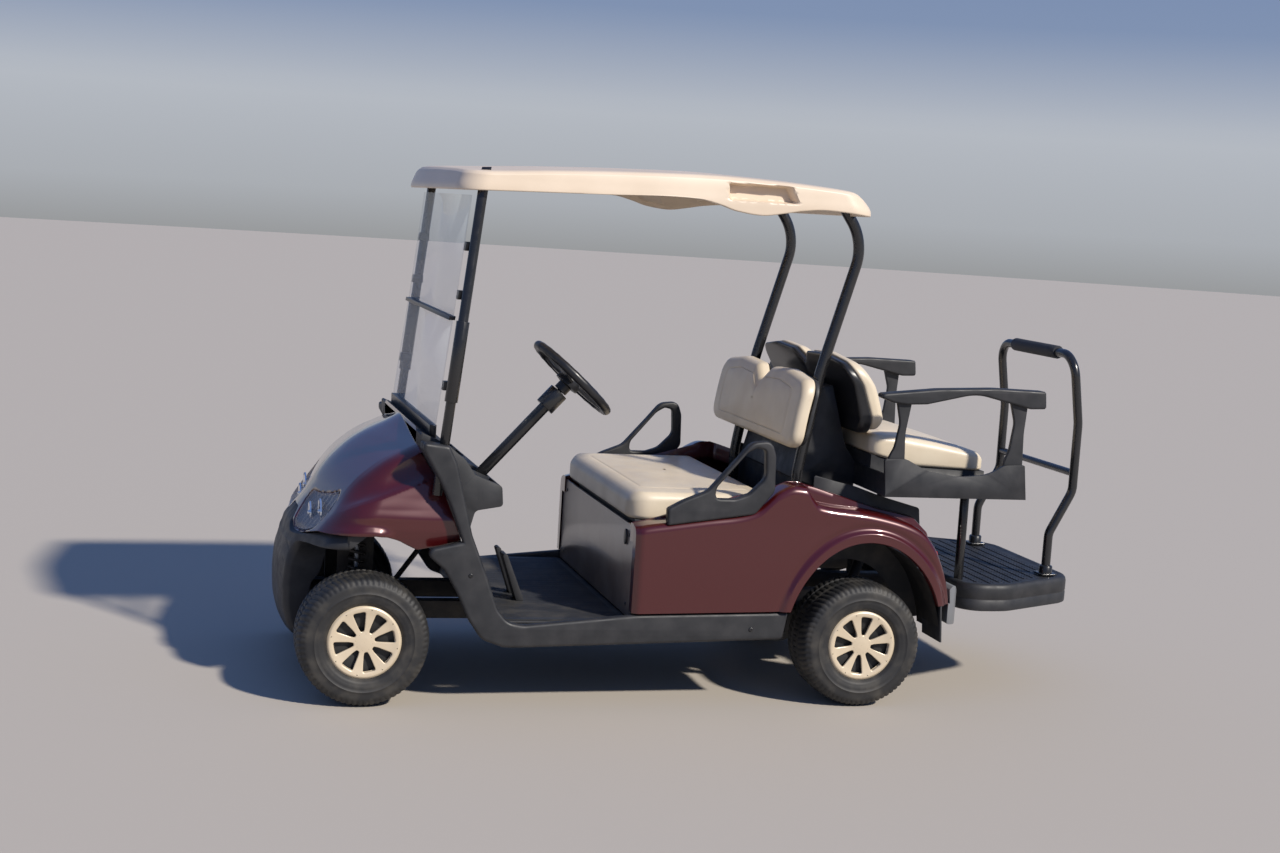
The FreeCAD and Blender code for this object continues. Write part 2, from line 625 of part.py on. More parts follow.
roofOuter = cut(roof_body(0, 0), hand_hold(0, holdTop) + [slab(rimLow, "yz", -700, 700)])
roofInner = cut(roof_body(rimWall, roofThick), hand_hold(roofThick, 1800))
# Small recess behind it: y0, y1, z0, z1
drainPlace, drainDepth = (1491, 1538, 1699, 1726), 20.0
drain = both(box(roofHalf - drainDepth, roofHalf + drainDepth, *drainPlace))
roof = cut(roofOuter, [roofInner] + drain)
keep("roof", roof)

# Rear struts: from the frame up through the body, then forward under the roof
rearPath = [(rearStrutX, 1470, 375), (rearStrutX, 1476, 760, 400), (rearStrutX, 1534, 1110, 600),
            (rearStrutX, 1658, 1562, 180), (rearStrutX, 1560, 1700, 0)]
rearStrut = tube(rearPath, rearStrutRadius)
shellFoot, shellHead = (1463, 860), (1510, 1112)


def shell_back(z):
    share = (z - shellFoot[1]) / (shellHead[1] - shellFoot[1])
    return shellFoot[0] + (shellHead[0] - shellFoot[0]) * share + seatGap


bracket = slab([(shell_back(940), 940), (1503, 940), (1518, 1040), (shell_back(1040), 1040)], "yz",
               rearStrutX - 16, rearStrutX + 16)
rearStrut = fuse([rearStrut, bracket])
rearStrut = cut(rearStrut, [roof, frame])
rearStrut = largest(rearStrut)
frontStrutTop = cut(frontStrut, [roof])
keep("front_struts", both(largest(frontStrutTop)))
keep("rear_struts", both(rearStrut))

# Front seat panel, cushion with its pan, backrest and shell
panelY = 872.0
keep("seat_front_panel", slab([(-534, matTop), (534, matTop), (534, 596), (-534, 596)], "xz",
                              panelY - 8, panelY))
hingeY, hingeZ = 1352.0, 604.0
panHalf = 470.0
keep("seat_pan", slab([(878, 600), (1350, 600), (1350, 612), (878, 612)], "yz", -panHalf, panHalf))
cushion = slab([(868, 612.3, 12), (862, 655, 20), (885, 706, 26), (940, 714, 40), (1300, 716, 40), (1350, 700, 20),
                (1350, 612.3)], "yz", -484, 484)
cushion = cushion.common(slab([(-484, 855, 60), (484, 855, 60), (484, 1350, 30), (-484, 1350, 30)], "xy",
                              600, 730))
keep("seat_cushion", cushion)


def lobes(halfX, low, notch, high, y0, y1):
    """Front view of a backrest with two lobes and a notch in the middle of its top."""
    return slab([(-halfX, low, 50), (halfX, low, 50), (halfX, high - 20, 60), (halfX * 0.55, high, 120),
                 (70, high - 8, 40), (0, notch, 12), (-70, high - 8, 40), (-halfX * 0.55, high, 120),
                 (-halfX, high - 20, 60)], "xz", y0, y1)


backHalf = 460.0
backPad = slab([(1408, 858, 14), (1430, 1000, 100), (1458, 1112), (1499, 1112), (1452, 858)], "yz",
               -backHalf, backHalf).common(lobes(backHalf, 858, 1048, 1110, 1300, 1600))
keep("seat_back", backPad)
backShell = slab([(1452.3, 860), (1499.3, 1112), shellHead, shellFoot], "yz", -backHalf + 6, backHalf - 6)
backShell = backShell.common(lobes(backHalf - 6, 864, 1040, 1104, 1300, 1600))
backShell = cut(backShell, both(rearStrut) + [backPad])
keep("seat_back_shell", backShell)

# Front armrests: a loop on a base, on the body's shoulder
armOuter = [(961, 612, 4), (959, 668, 8), (1012, 697, 60), (1090, 728, 60), (1180, 831, 120), (1232, 893, 50),
            (1300, 900, 30), (1318, 850, 60), (1322, 732, 30), (1258, 654, 30), (1110, 633)]
armHole = [(1117, 704, 14), (1120, 740, 30), (1218, 856, 60), (1250, 875, 16), (1281, 868, 12), (1287, 775, 40),
           (1232, 720, 50), (1185, 704, 40)]
armrest = cut(slab(armOuter, "yz", 548, 586), [slab(armHole, "yz", 500, 600)])

# Rear body: side view; hollow, with the seat well, the deck well and the wheel arches cut
bodySide = [(862, 319), (862, 612, 14), (966, 621, 60), (1110, 641, 200), (1262, 662, 60), (1345, 742, 60),
            (1420, 757, 80), (1500, 733, 200), (1715, 668, 300), (1850, 642, 120), (1905, 590, 80),
            (1981, 402, 30), (1993, 352, 4), (1930, 352), (1389, 330)]
bodyPlan = [(-bodyHalf, 862, 36), (bodyHalf, 862, 36), (bodyHalf, 1995, 70), (-bodyHalf, 1995, 70)]


# Fender top in side view, and how far out from the middle it starts
fenderTop = [(1446, 748, 30), (1476, 694, 50), (1540, 680, 200), (1653, 669, 200), (1754, 649, 150), (1825, 626, 100),
             (1880, 570)]
fenderInner = 508.0


def body_block(inset):
    side = slab(bodySide, "yz", -bodyHalf + inset, bodyHalf - inset)
    if inset:
        low = side.copy()
        low.translate(Vector(0, -inset, -inset))
        back = side.copy()
        back.translate(Vector(0, inset, -inset))
        side = low.common(back)
        side = fuse([side, box(-bodyHalf + inset, bodyHalf - inset, 862 + inset, 1900, 250, 560)])
    plan = [(x * (bodyHalf - inset) / bodyHalf, y + (inset if y < 1000 else -inset), r - inset)
            for x, y, r in bodyPlan]
    step = [(fenderTop[0][0], 900)] + [(y, z - inset) + tuple(rest) for y, z, *rest in fenderTop] + [(1990, 570), (1990, 900)]
    steps = both(slab(step, "yz", fenderInner - inset, bodyHalf + 20))
    return cut(side.common(slab(plan, "xy", 200, 800)), steps)


archY, archZ = wheelBase, tyreRadius
arches = both(ellipse_prism(archY, archZ, 285, 356, 430, 620))
body = cut(body_block(0), [body_block(wall)])
seatWell = [box(-505, 505, 800, 1470, 300, 800), box(-534.5, 534.5, 800, 880, 300, 598)]
deckWell = [box(-428, 428, 1512, 1950, 560, 800)]
body = cut(body, seatWell + deckWell + arches + [box(-700, 700, 1500, 2000, 200, 352)])
lipRing = cut(ellipse_prism(archY, archZ, 318, 390, 566, halfWidth), [ellipse_prism(archY, archZ, 285, 356, 500, 620)])
lipRing = cut(lipRing, [box(500, 620, 1300, 2050, -200, 353)])
lipRing = cut(lipRing, [body_block(wall), slab([(1200, 800), (1345, 742), (1500, 733), (1715, 660), (1850, 640),
                        (1905, 590), (1981, 402), (1993, 340), (2100, 340), (2100, 900), (1200, 900)],
                        "yz", 500, 620)])
body = fuse([body] + both(lipRing))
body = cut(body, both(tube(rearPath, rearStrutRadius + 1)))
body = largest(body)
keep("rear_body", body)
armrest = cut(armrest, [body_block(0)])
keep("armrests", both(largest(armrest)))

# Rear deck: the open well between the rear fenders
deckTop = slab([(1512.3, 560), (1512.3, 724), (1715, 660), (1850, 636), (1905, 586), (1905, 560)], "yz", -427.7, 427.7)
deck = cut(deckTop.common(box(-427.7, 427.7, 1512.3, 1949.7, 560, 760)), [box(-423, 423, 1517, 1900, 565, 800)])
deckSide = [(1512.3, 560), (1512.3, 768, 6), (1585, 750, 60), (1667, 732, 100), (1757, 702, 100), (1904, 663, 12),
            (1912, 590, 20), (1905, 560)]
deck = fuse([deck] + both(slab(deckSide, "yz", 422.7, 427.7)))
keep("rear_deck", deck)

# Rear bumper, tail lamps and mud flaps
rearBumper = slab([(1988, 280, 8), (1988, 352), (1996, 352), (1990, 400, 8), (2012, 420, 14), (2036, 380, 20),
                   (2030, 276, 10)], "yz", -545, 545)
rearBumper = rearBumper.common(slab([(-545, 1950), (545, 1950), (545, 2036, 60), (-545, 2036, 60)], "xy", 200, 500))
rearBumper = cut(rearBumper, [body, frame, stepFrame])
keep("rear_bumper", largest(rearBumper))
tail = slab([(1952, 474, 4), (1933, 526, 4), (1944, 530, 4), (1962, 478, 4)], "yz", 440, 515)
tail = cut(tail, [body])
keep("tail_lamps", both(largest(tail)))
flap = slab([(1937, 400), (1950, 226), (1956, 226), (1943, 400)], "yz", 430, bodyHalf - wall - seatGap)
keep("mud_flaps", both(largest(cut(flap, [body]))))

# Divider box between the seats, rear backrest with its shell
divider = slab([(1476, 690), (1484, 745, 60), (1568, 1060, 14), (1603, 1064), (1650, 905), (1668, 850, 20),
                (1705.7, 800, 10), (1705.7, 630)],
               "yz", -300, 300)
divider = cut(divider, [body_block(0), deckTop])
keep("seat_divider", largest(divider))
rearBackHalf = 440.0
shellSide = [(1566, 1172, 10), (1600, 1166, 14), (1660, 1078, 60), (1700, 968, 60), (1700, 926, 10), (1648, 914, 6),
             (1601, 1068)]
padSide = [(1600.5, 1168), (1624, 1178, 16), (1680, 1128, 40), (1733, 1052, 50), (1742, 990, 40), (1726, 932, 14),
           (1700.5, 926), (1700.5, 968, 60), (1660.5, 1078, 60)]
rearShell = slab(shellSide, "yz", -rearBackHalf, rearBackHalf)
rearPad = slab(padSide, "yz", -rearBackHalf, rearBackHalf)
rearFront = lobes(rearBackHalf, 905, 1120, 1178, 1500, 1800)
rearShell = cut(rearShell.common(rearFront), [nodes["seat_divider"][0]] + both(rearStrut))
rearPad = cut(rearPad.common(rearFront), [rearShell])
keep("rear_seat_back_shell", largest(rearShell))
keep("rear_seat_back", largest(rearPad))

# Rear seat tray with its storage box, cushion, armrests
trayFloor = box(-bodyHalf, bodyHalf, 1706, 2218, 724, 734)
traySide = slab([(1708, 724), (1697, 851, 8), (1775, 853, 40), (1850, 815, 150), (1965, 796, 200), (2075, 806, 150),
                 (2135, 841, 40), (2208, 843, 6), (2222, 724)], "yz", 577, bodyHalf)
boxTop = [(1712, 730), (1712, 846), (1866, 807), (2136, 797), (2136, 730)]
seatBox = cut(slab(boxTop, "yz", -428, 428), [box(-420, 420, 1720, 2128, 734, 900)])
trayFront = box(-578, 578, 1706, 1712, 730, 800)
tray = fuse([trayFloor, seatBox, trayFront] + both(traySide))
keep("rear_seat_tray", tray)
rearCushion = slab([(1713, 846.2), (1706, 916, 14), (1829, 926, 120), (2048, 892, 120), (2112, 880, 30), (2138, 838, 16),
                    (2138, 797.4), (1866, 807.4)], "yz", -rearBackHalf, rearBackHalf)
keep("rear_seat_cushion", rearCushion)
padOutline = [(1672, 1056, 4), (1715, 1041, 30), (1761, 1036), (1834, 1039, 40), (2012, 1080, 200), (2214, 1035, 30),
              (2272, 1037, 8), (2266, 1097, 8), (2078, 1101, 300), (1876, 1092, 200), (1673, 1070, 8)]
armPad = slab(padOutline, "yz", *armPadX)
frontPost = slab([(1714, 836), (1716, 855, 20), (1734, 890, 60), (1748, 972, 60), (1731, 1050), (1785, 1050),
                  (1769, 938, 200), (1774, 836)], "yz", 560, 576.7)
rearPost = slab([(2134, 836), (2137, 850, 20), (2153, 892, 60), (2165, 985, 60), (2143, 1062), (2209, 1055),
                 (2202, 951, 200), (2206, 836)], "yz", 560, 576.7)
rearArm = fuse([armPad, frontPost, rearPost])
keep("rear_armrests", both(rearArm))

# Footplate with a rolled rim, its posts and the grab bar
platePlan = [(-plateHalf, plateFront, 90), (plateHalf, plateFront, 90), (plateHalf, plateWaist, 150),
             (plateRearHalf, plateRear, 120), (-plateRearHalf, plateRear, 120), (-plateHalf, plateWaist, 150)]


def plate_block(inset, top):
    shift = {plateFront: inset, plateWaist: 0, plateRear: -inset}
    plan = [(x - math.copysign(inset, x), y + shift[y], r - inset) for x, y, r in platePlan]
    return slab(plan, "xy", plateBottom, top)


plate = cut(plate_block(0, plateTop), [plate_block(plateThick, plateTop - plateThick)])
postX, postY = 380.0, 2094.0
posts = both(rod((postX, postY, plateTop - plateThick - seatGap), (postX, postY, 724), 16))
plate = cut(plate, posts + [stepFrame])
barPath = [(barX, 2470, plateTop), (barX, 2470, 560, 60), (barX, 2549, 715, 80), (barX, 2549, 960, 200),
           (barX, 2512, 1205, 80), (-barX, 2512, 1205, 80), (-barX, 2549, 960, 200), (-barX, 2549, 715, 80),
           (-barX, 2470, 560, 60), (-barX, 2470, plateTop)]
grab = tube(barPath, barRadius)
crossBar = rod((-barX, 2549, 780), (barX, 2549, 780), barRadius - 3)
feet = both(box(barX - 32, barX + 32, 2440, 2500, plateTop, plateTop + 22))
grab = fuse([grab, crossBar] + feet)
keep("grab_bar", grab)
grip = rod((-170, 2512, 1205), (170, 2512, 1205), 24).cut(rod((-171, 2512, 1205), (171, 2512, 1205), barRadius))
keep("grab_grip", grip)
keep("footplate", largest(plate))
keep("footplate_posts", posts)

for name, solids in nodes.items():
    moved = [s.translated(originShift) for s in solids]
    shape = moved[0] if len(moved) == 1 else Part.makeCompound(moved)
    shape.exportStep("parts/%s.step" % name)
    box_ = shape.BoundBox
    print("%-22s %2d  x %7.1f %7.1f  y %7.1f %7.1f  z %7.1f %7.1f  %s" % (
        name, len(moved), box_.XMin, box_.XMax, box_.YMin, box_.YMax, box_.ZMin, box_.ZMax,
        all(s.isValid() for s in moved)))
print(len(nodes), "nodes")
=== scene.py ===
import math

import bpy
import bmesh
import numpy as np
from mathutils import Matrix, Vector
from mathutils.geometry import tessellate_polygon


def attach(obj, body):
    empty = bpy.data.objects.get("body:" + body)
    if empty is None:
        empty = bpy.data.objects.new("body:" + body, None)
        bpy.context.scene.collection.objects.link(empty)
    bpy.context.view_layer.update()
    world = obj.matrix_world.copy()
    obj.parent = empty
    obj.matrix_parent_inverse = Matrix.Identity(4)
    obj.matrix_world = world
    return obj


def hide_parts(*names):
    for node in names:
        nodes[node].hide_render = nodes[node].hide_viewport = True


# Pieces are drawn in millimetres in the cart's own coordinates: x to its left,
# y back from the front axle, z up. asRow turns them into the row frame in metres.
frontAxle = 1.1565
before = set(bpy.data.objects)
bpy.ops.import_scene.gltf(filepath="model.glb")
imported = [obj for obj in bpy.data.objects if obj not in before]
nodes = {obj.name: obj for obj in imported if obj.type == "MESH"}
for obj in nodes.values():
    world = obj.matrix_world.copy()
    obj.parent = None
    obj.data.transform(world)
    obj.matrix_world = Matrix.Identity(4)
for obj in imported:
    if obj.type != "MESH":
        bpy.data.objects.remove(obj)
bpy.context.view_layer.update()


def asRow(points):
    row = np.array(points, float) / 1000
    row[..., 1] -= frontAxle
    return row


# Materials


class Socket:
    def __init__(self, tree, out):
        self.tree, self.out = tree, out

    def math(self, first, second, operation):
        node = addNode(self.tree, "ShaderNodeMath", {"operation": operation}, {0: first, 1: second})
        return Socket(self.tree, node.outputs[0])

    def __add__(self, other):
        return self.math(self, other, "ADD")

    def __mul__(self, other):
        return self.math(self, other, "MULTIPLY")

    def __rmul__(self, other):
        return self.math(other, self, "MULTIPLY")


def addNode(tree, kind, settings, values):
    node = tree.nodes.new(kind)
    for name, value in settings.items():
        setattr(node, name, value)
    for name, value in values.items():
        if isinstance(value, Socket):
            tree.links.new(value.out, node.inputs[name])
        else:
            node.inputs[name].default_value = value
    return node


class Finish:
    # one material: a Principled shader with what varies over it

    def __init__(self, name, colour, roughness, **constants):
        self.material = bpy.data.materials.new(name)
        self.material.use_nodes = True
        self.tree = self.material.node_tree
        self.shader = self.tree.nodes["Principled BSDF"]
        self.set("Base Color", tuple(colour) + (1.0,))
        self.set("Roughness", roughness)
        for key, value in constants.items():
            self.set(key.replace("_", " "), value)

    def set(self, name, value):
        if isinstance(value, Socket):
            self.tree.links.new(value.out, self.shader.inputs[name])
        else:
            self.shader.inputs[name].default_value = value

    def place(self):
        node = addNode(self.tree, "ShaderNodeTexCoord", {}, {})
        return Socket(self.tree, node.outputs["Object"])

    def noise(self, scale, detail):
        values = {"Vector": self.place(), "Scale": scale, "Detail": detail}
        node = addNode(self.tree, "ShaderNodeTexNoise", {}, values)
        return Socket(self.tree, node.outputs[0])

    def cells(self, scale):
        node = addNode(self.tree, "ShaderNodeTexVoronoi", {}, {"Vector": self.place(), "Scale": scale})
        return Socket(self.tree, node.outputs[0])

    def ramp(self, source, low, high, fromLow, fromHigh):
        node = addNode(self.tree, "ShaderNodeMapRange", {}, {
            "Value": source, "From Min": fromLow, "From Max": fromHigh, "To Min": low, "To Max": high})
        return Socket(self.tree, node.outputs[0])

    def blend(self, share, first, second):
        node = addNode(self.tree, "ShaderNodeMix", {"data_type": "RGBA"}, {
            0: share, 6: tuple(first) + (1.0,), 7: tuple(second) + (1.0,)})
        return Socket(self.tree, node.outputs[2])

    def bump(self, height, strength, distance):
        values = {"Height": height, "Strength": strength, "Distance": distance}
        node = addNode(self.tree, "ShaderNodeBump", {}, values)
        self.set("Normal", Socket(self.tree, node.outputs[0]))


def mottle(finish, scale, detail, span, first, second):
    # colour drifts from first to second with a noise of that scale; span is the part of the noise that counts
    share = finish.ramp(finish.noise(scale, detail), 0, 1, *span)
    finish.set("Base Color", finish.blend(share, first, second))


def wear(finish, scale, detail, low, high):
    # roughness drifts between low and high
    finish.set("Roughness", finish.ramp(finish.noise(scale, detail), low, high, 0.3, 0.7))


paint = Finish("body_paint", (0.060, 0.0032, 0.0045), 0.30, Metallic=0.2, Coat_Weight=1.0,
               Coat_Roughness=0.025)
mottle(paint, 2600, 1.0, (0.35, 0.65), (0.050, 0.0026, 0.0036), (0.078, 0.0045, 0.006))
roofPlastic = Finish("roof_plastic", (0.74, 0.61, 0.47), 0.42, Coat_Weight=0.12, Coat_Roughness=0.3)
mottle(roofPlastic, 5, 4, (0.35, 0.7), (0.76, 0.63, 0.49), (0.70, 0.575, 0.44))
roofPlastic.bump(roofPlastic.noise(900, 2), 0.12, 0.0005)
vinyl = Finish("seat_vinyl", (0.70, 0.60, 0.45), 0.38, Coat_Weight=0.15, Coat_Roughness=0.3)
mottle(vinyl, 9, 5, (0.35, 0.72), (0.73, 0.63, 0.475), (0.66, 0.555, 0.41))
wear(vinyl, 14, 4, 0.33, 0.5)
vinyl.bump(vinyl.cells(420) + 0.5 * vinyl.noise(240, 4), 0.22, 0.0006)
plastic = Finish("black_plastic", (0.022, 0.023, 0.026), 0.5)
mottle(plastic, 16, 6, (0.4, 0.75), (0.017, 0.018, 0.021), (0.034, 0.034, 0.037))
wear(plastic, 22, 5, 0.42, 0.62)
plastic.bump(plastic.noise(650, 3), 0.35, 0.0006)
smoothBlack = Finish("smooth_black", (0.016, 0.016, 0.018), 0.33)
smoothBlack.bump(smoothBlack.noise(300, 3), 0.12, 0.0004)
steel = Finish("black_steel", (0.013, 0.013, 0.014), 0.24, Coat_Weight=0.4, Coat_Roughness=0.15)
wear(steel, 30, 4, 0.18, 0.36)
steel.bump(steel.noise(420, 2), 0.06, 0.0004)
chassis = Finish("chassis_black", (0.018, 0.017, 0.016), 0.6)
mottle(chassis, 12, 8, (0.45, 0.7), (0.013, 0.013, 0.014), (0.05, 0.043, 0.036))
rubber = Finish("tyre_rubber", (0.026, 0.023, 0.021), 0.6)
mottle(rubber, 18, 8, (0.45, 0.75), (0.016, 0.016, 0.017), (0.055, 0.05, 0.043))
rubber.bump(rubber.noise(380, 4), 0.2, 0.0006)
mat = Finish("floor_rubber", (0.026, 0.027, 0.03), 0.55)
mottle(mat, 9, 8, (0.45, 0.75), (0.02, 0.021, 0.024), (0.06, 0.056, 0.05))
mat.bump(mat.noise(500, 3), 0.25, 0.0005)
foam = Finish("grip_foam", (0.028, 0.03, 0.037), 0.75)
foam.bump(foam.noise(700, 3), 0.5, 0.0006)
taupe = Finish("panel_taupe", (0.105, 0.078, 0.066), 0.32, Coat_Weight=0.35, Coat_Roughness=0.15)
mottle(taupe, 7, 6, (0.4, 0.75), (0.185, 0.14, 0.115), (0.26, 0.21, 0.175))
greyBumper = Finish("bumper_grey", (0.17, 0.175, 0.185), 0.38)
greyBumper.bump(greyBumper.noise(500, 3), 0.15, 0.0005)
coverGloss = {"Metallic": 0.15, "Coat_Weight": 0.25, "Coat_Roughness": 0.2}
coverFinish = Finish("wheel_cover", (0.66, 0.55, 0.40), 0.36, **coverGloss)
rimFinish = Finish("rim_steel", (0.02, 0.02, 0.02), 0.5)
springSteel = Finish("spring_grey", (0.30, 0.31, 0.33), 0.4, Metallic=0.6)
cast = Finish("cast_case", (0.16, 0.16, 0.16), 0.55, Metallic=0.5)
mirror = Finish("lamp_bowl", (0.85, 0.87, 0.9), 0.12, Metallic=0.95)
bowlDark = Finish("lamp_housing", (0.10, 0.07, 0.08), 0.25, Metallic=0.7)
clear = Finish("clear_acrylic", (0.72, 0.80, 0.86), 0.04, Alpha=0.2, Specular_IOR_Level=0.9)
lensGloss = {"Alpha": 0.22, "Specular_IOR_Level": 0.8, "Coat_Weight": 0.6}
lens = Finish("lamp_lens", (0.60, 0.62, 0.66), 0.04, **lensGloss)
red = Finish("lamp_red", (0.42, 0.012, 0.012), 0.15, Coat_Weight=0.6)
battery = Finish("battery_case", (0.07, 0.08, 0.09), 0.5)
print("materials made")

# Building blocks

weldDistance = 0.00002  # metres


def unit(vectors):
    return vectors / np.maximum(np.linalg.norm(vectors, axis=-1, keepdims=True), 1e-9)


def newPiece(name, verts, faces, finish, body, replaces=()):
    # one mesh from cart points in millimetres
    mesh = bpy.data.meshes.new(name)
    mesh.from_pydata(asRow(verts).tolist(), [], [tuple(int(i) for i in f) for f in faces])
    mesh.materials.append(finish.material)
    mesh.polygons.foreach_set("use_smooth", np.ones(len(mesh.polygons), bool))
    piece = bpy.data.objects.new(name, mesh)
    bpy.context.scene.collection.objects.link(piece)
    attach(piece, body)
    if replaces:
        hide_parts(*replaces)
    return piece


class Mesh:
    # collects grids and caps, so that many small forms make one piece

    def __init__(self):
        self.verts, self.faces, self.count = [], [], 0

    def add(self, points):
        points = np.asarray(points, float).reshape(-1, 3)
        start = self.count
        self.verts.append(points)
        self.count += len(points)
        return start

    def grid(self, points, closeRows=False, closeColumns=False, flip=False):
        # faces between neighbours of points, an array of rows by columns by 3
        rows, columns = points.shape[:2]
        start = self.add(points)
        i, j = np.meshgrid(np.arange(rows if closeRows else rows - 1),
                           np.arange(columns if closeColumns else columns - 1), indexing="ij")
        i, j = i.ravel(), j.ravel()
        i1, j1 = (i + 1) % rows, (j + 1) % columns
        quads = np.stack([i * columns + j, i * columns + j1, i1 * columns + j1, i1 * columns + j], 1) + start
        self.faces += (quads[:, ::-1] if flip else quads).tolist()

    def cap(self, points, flip=False, hole=None):
        # flat triangles over a loop of points, less the loop of a hole
        loops = [points] if hole is None else [points, hole]
        start = self.add(np.concatenate(loops))
        parts = tessellate_polygon([[Vector(p) for p in loop] for loop in loops])
        self.faces += [[start + i for i in (part[::-1] if flip else part)] for part in parts]

    def copy(self, change):
        # adds change(points) of all that is there, turned inside out if change mirrors
        points = np.concatenate(self.verts)
        moved = change(points)
        probe = np.array([[0, 0, 0], [1, 0, 0], [0, 1, 0], [0, 0, 1]], float)
        turned = change(probe)
        mirrors = np.linalg.det(turned[1:] - turned[0]) < 0
        start = self.add(moved)
        self.faces += [[i + start for i in (face[::-1] if mirrors else face)] for face in self.faces]

    def build(self, name, finish, body, slot=None, replaces=(), sharp=30):
        # sharp is the angle in degrees over which an edge stays hard
        piece = newPiece(name, np.concatenate(self.verts), self.faces, finish, body, replaces)
        work = bmesh.new()
        work.from_mesh(piece.data)
        bmesh.ops.remove_doubles(work, verts=work.verts, dist=weldDistance)
        bmesh.ops.recalc_face_normals(work, faces=work.faces)
        work.to_mesh(piece.data)
        work.free()
        piece.data.set_sharp_from_angle(angle=math.radians(sharp))
        return piece


def flipX(points):
    return points * np.array([-1.0, 1.0, 1.0])


def roundCorners(points, radii, closed, step):
    # straight runs joined by tangent arcs. Each arc turns at a steady rate from its first point to its last
    points = [np.array(p, float) for p in points]
    out, count = [], len(points)
    for i, point in enumerate(points):
        radius = radii[i]
        if radius <= 0 or (not closed and i in (0, count - 1)):
            out.append(point[None])
            continue
        back, ahead = unit(points[i - 1] - point), unit(points[(i + 1) % count] - point)
        half = math.acos(np.clip(back @ ahead, -1, 1)) / 2
        if half > 1.56:
            out.append(point[None])
            continue
        reach = radius / math.tan(half)
        centre = point + unit(back + ahead) * radius / math.sin(half)
        first, last = point + back * reach - centre, point + ahead * reach - centre
        sweep = math.pi - 2 * half
        steps = max(2, int(math.ceil(radius * sweep / step)), int(math.ceil(sweep / 0.16)))
        t = np.linspace(0, 1, steps + 1)[:, None]
        out.append(centre + (np.sin((1 - t) * sweep) * first + np.sin(t * sweep) * last) / math.sin(sweep))
    path = np.concatenate(out)
    keep = np.ones(len(path), bool)
    keep[1:] = np.linalg.norm(np.diff(path, axis=0), axis=1) > 0.05
    return path[keep]


def outline(corners, step, spacing=None, closed=True):
    # corners have their radius after their place; with a spacing the points stand evenly
    path = roundCorners([corner[:-1] for corner in corners], [corner[-1] for corner in corners], closed, step)
    return path if spacing is None else resample(path, spacing, closed)


def resample(path, spacing, closed=False):
    if closed:
        path = np.concatenate([path, path[:1]])
    run = np.concatenate([[0], np.cumsum(np.linalg.norm(np.diff(path, axis=0), axis=1))])
    count = max(3, int(round(run[-1] / spacing)) + 1)
    at = np.linspace(0, run[-1], count)
    out = np.stack([np.interp(at, run, path[:, k]) for k in range(path.shape[1])], 1)
    return out[:-1] if closed else out


def circle(radius, count):
    a = np.linspace(0, 2 * np.pi, count, endpoint=False)
    return radius * np.stack([np.cos(a), np.sin(a)], 1)


def roundedRect(width, height, radius, step=3.0):
    w, h = width / 2, height / 2
    return roundCorners([(-w, -h), (w, -h), (w, h), (-w, h)], [radius] * 4, True, step)


def sweep(mesh, path, profile, side=None, closed=False, scale=None):
    # profile (across, up) carried along path. side is the fixed across direction, or None for a frame that
    # doesn't twist
    path = np.asarray(path, float)
    ahead = np.roll(path, -1, 0) - path if closed else np.gradient(path, axis=0)
    if closed:
        ahead = unit(ahead) + unit(np.roll(ahead, 1, 0))
    tangent = unit(ahead)
    if side is not None:
        across = np.broadcast_to(np.asarray(side, float), path.shape)
        across = unit(across - tangent * np.sum(across * tangent, 1, keepdims=True))
    else:
        first = np.cross(tangent[0], (0, 0, 1) if abs(tangent[0][2]) < 0.9 else (1, 0, 0))
        rows = [first / np.linalg.norm(first)]
        for t in tangent[1:]:
            v = rows[-1] - t * (rows[-1] @ t)
            rows.append(v / np.linalg.norm(v))
        across = np.array(rows)
    up = np.cross(across, tangent)
    size = np.ones(len(path)) if scale is None else np.asarray(scale, float)
    around = across[:, None] * profile[None, :, :1] + up[:, None] * profile[None, :, 1:]
    points = path[:, None] + around * size[:, None, None]
    mesh.grid(points, closeRows=closed, closeColumns=True)
    if not closed:
        mesh.cap(points[0], True)
        mesh.cap(points[-1])


def offset(loop, distance):
    # a closed flat loop moved inward by distance along its corner normals
    before, after = loop - np.roll(loop, 1, 0), np.roll(loop, -1, 0) - loop
    n1 = unit(np.stack([before[:, 1], -before[:, 0]], 1))
    n2 = unit(np.stack([after[:, 1], -after[:, 0]], 1))
    n = unit(n1 + n2)
    stretch = 1 / np.clip(np.sum(n * n1, 1), 0.5, 1)
    area = np.sum(loop[:, 0] * np.roll(loop[:, 1], -1) - np.roll(loop[:, 0], -1) * loop[:, 1])
    return loop - n * (distance * stretch)[:, None] * np.sign(area)


def lift(loop, plane, depth):
    a, b = loop[:, 0], loop[:, 1]
    d = np.broadcast_to(depth, a.shape)
    return np.stack({"yz": [d, a, b], "xz": [a, d, b], "xy": [a, b, d]}[plane], 1)


def plate(mesh, loop, plane, low, high, roll, steps=4, hole=None):
    # an outline, with a hole or without, drawn out from low to high, its edges rolled over by quarter circles
    a = np.linspace(0, np.pi / 2, steps + 1)
    rings = [(low + roll * (1 - math.sin(t)), roll * (1 - math.cos(t))) for t in a[::-1]]
    rings += [(high - roll * (1 - math.sin(t)), roll * (1 - math.cos(t))) for t in a]
    points = np.stack([lift(offset(loop, inset), plane, depth) for depth, inset in rings])
    mesh.grid(points, closeColumns=True)
    ends = [None, None]
    if hole is not None:
        inside = np.stack([lift(offset(hole, -inset), plane, depth) for depth, inset in rings])
        mesh.grid(inside, closeColumns=True, flip=True)
        ends = [inside[0], inside[-1]]
    mesh.cap(points[0], True, ends[0])
    mesh.cap(points[-1], False, ends[1])


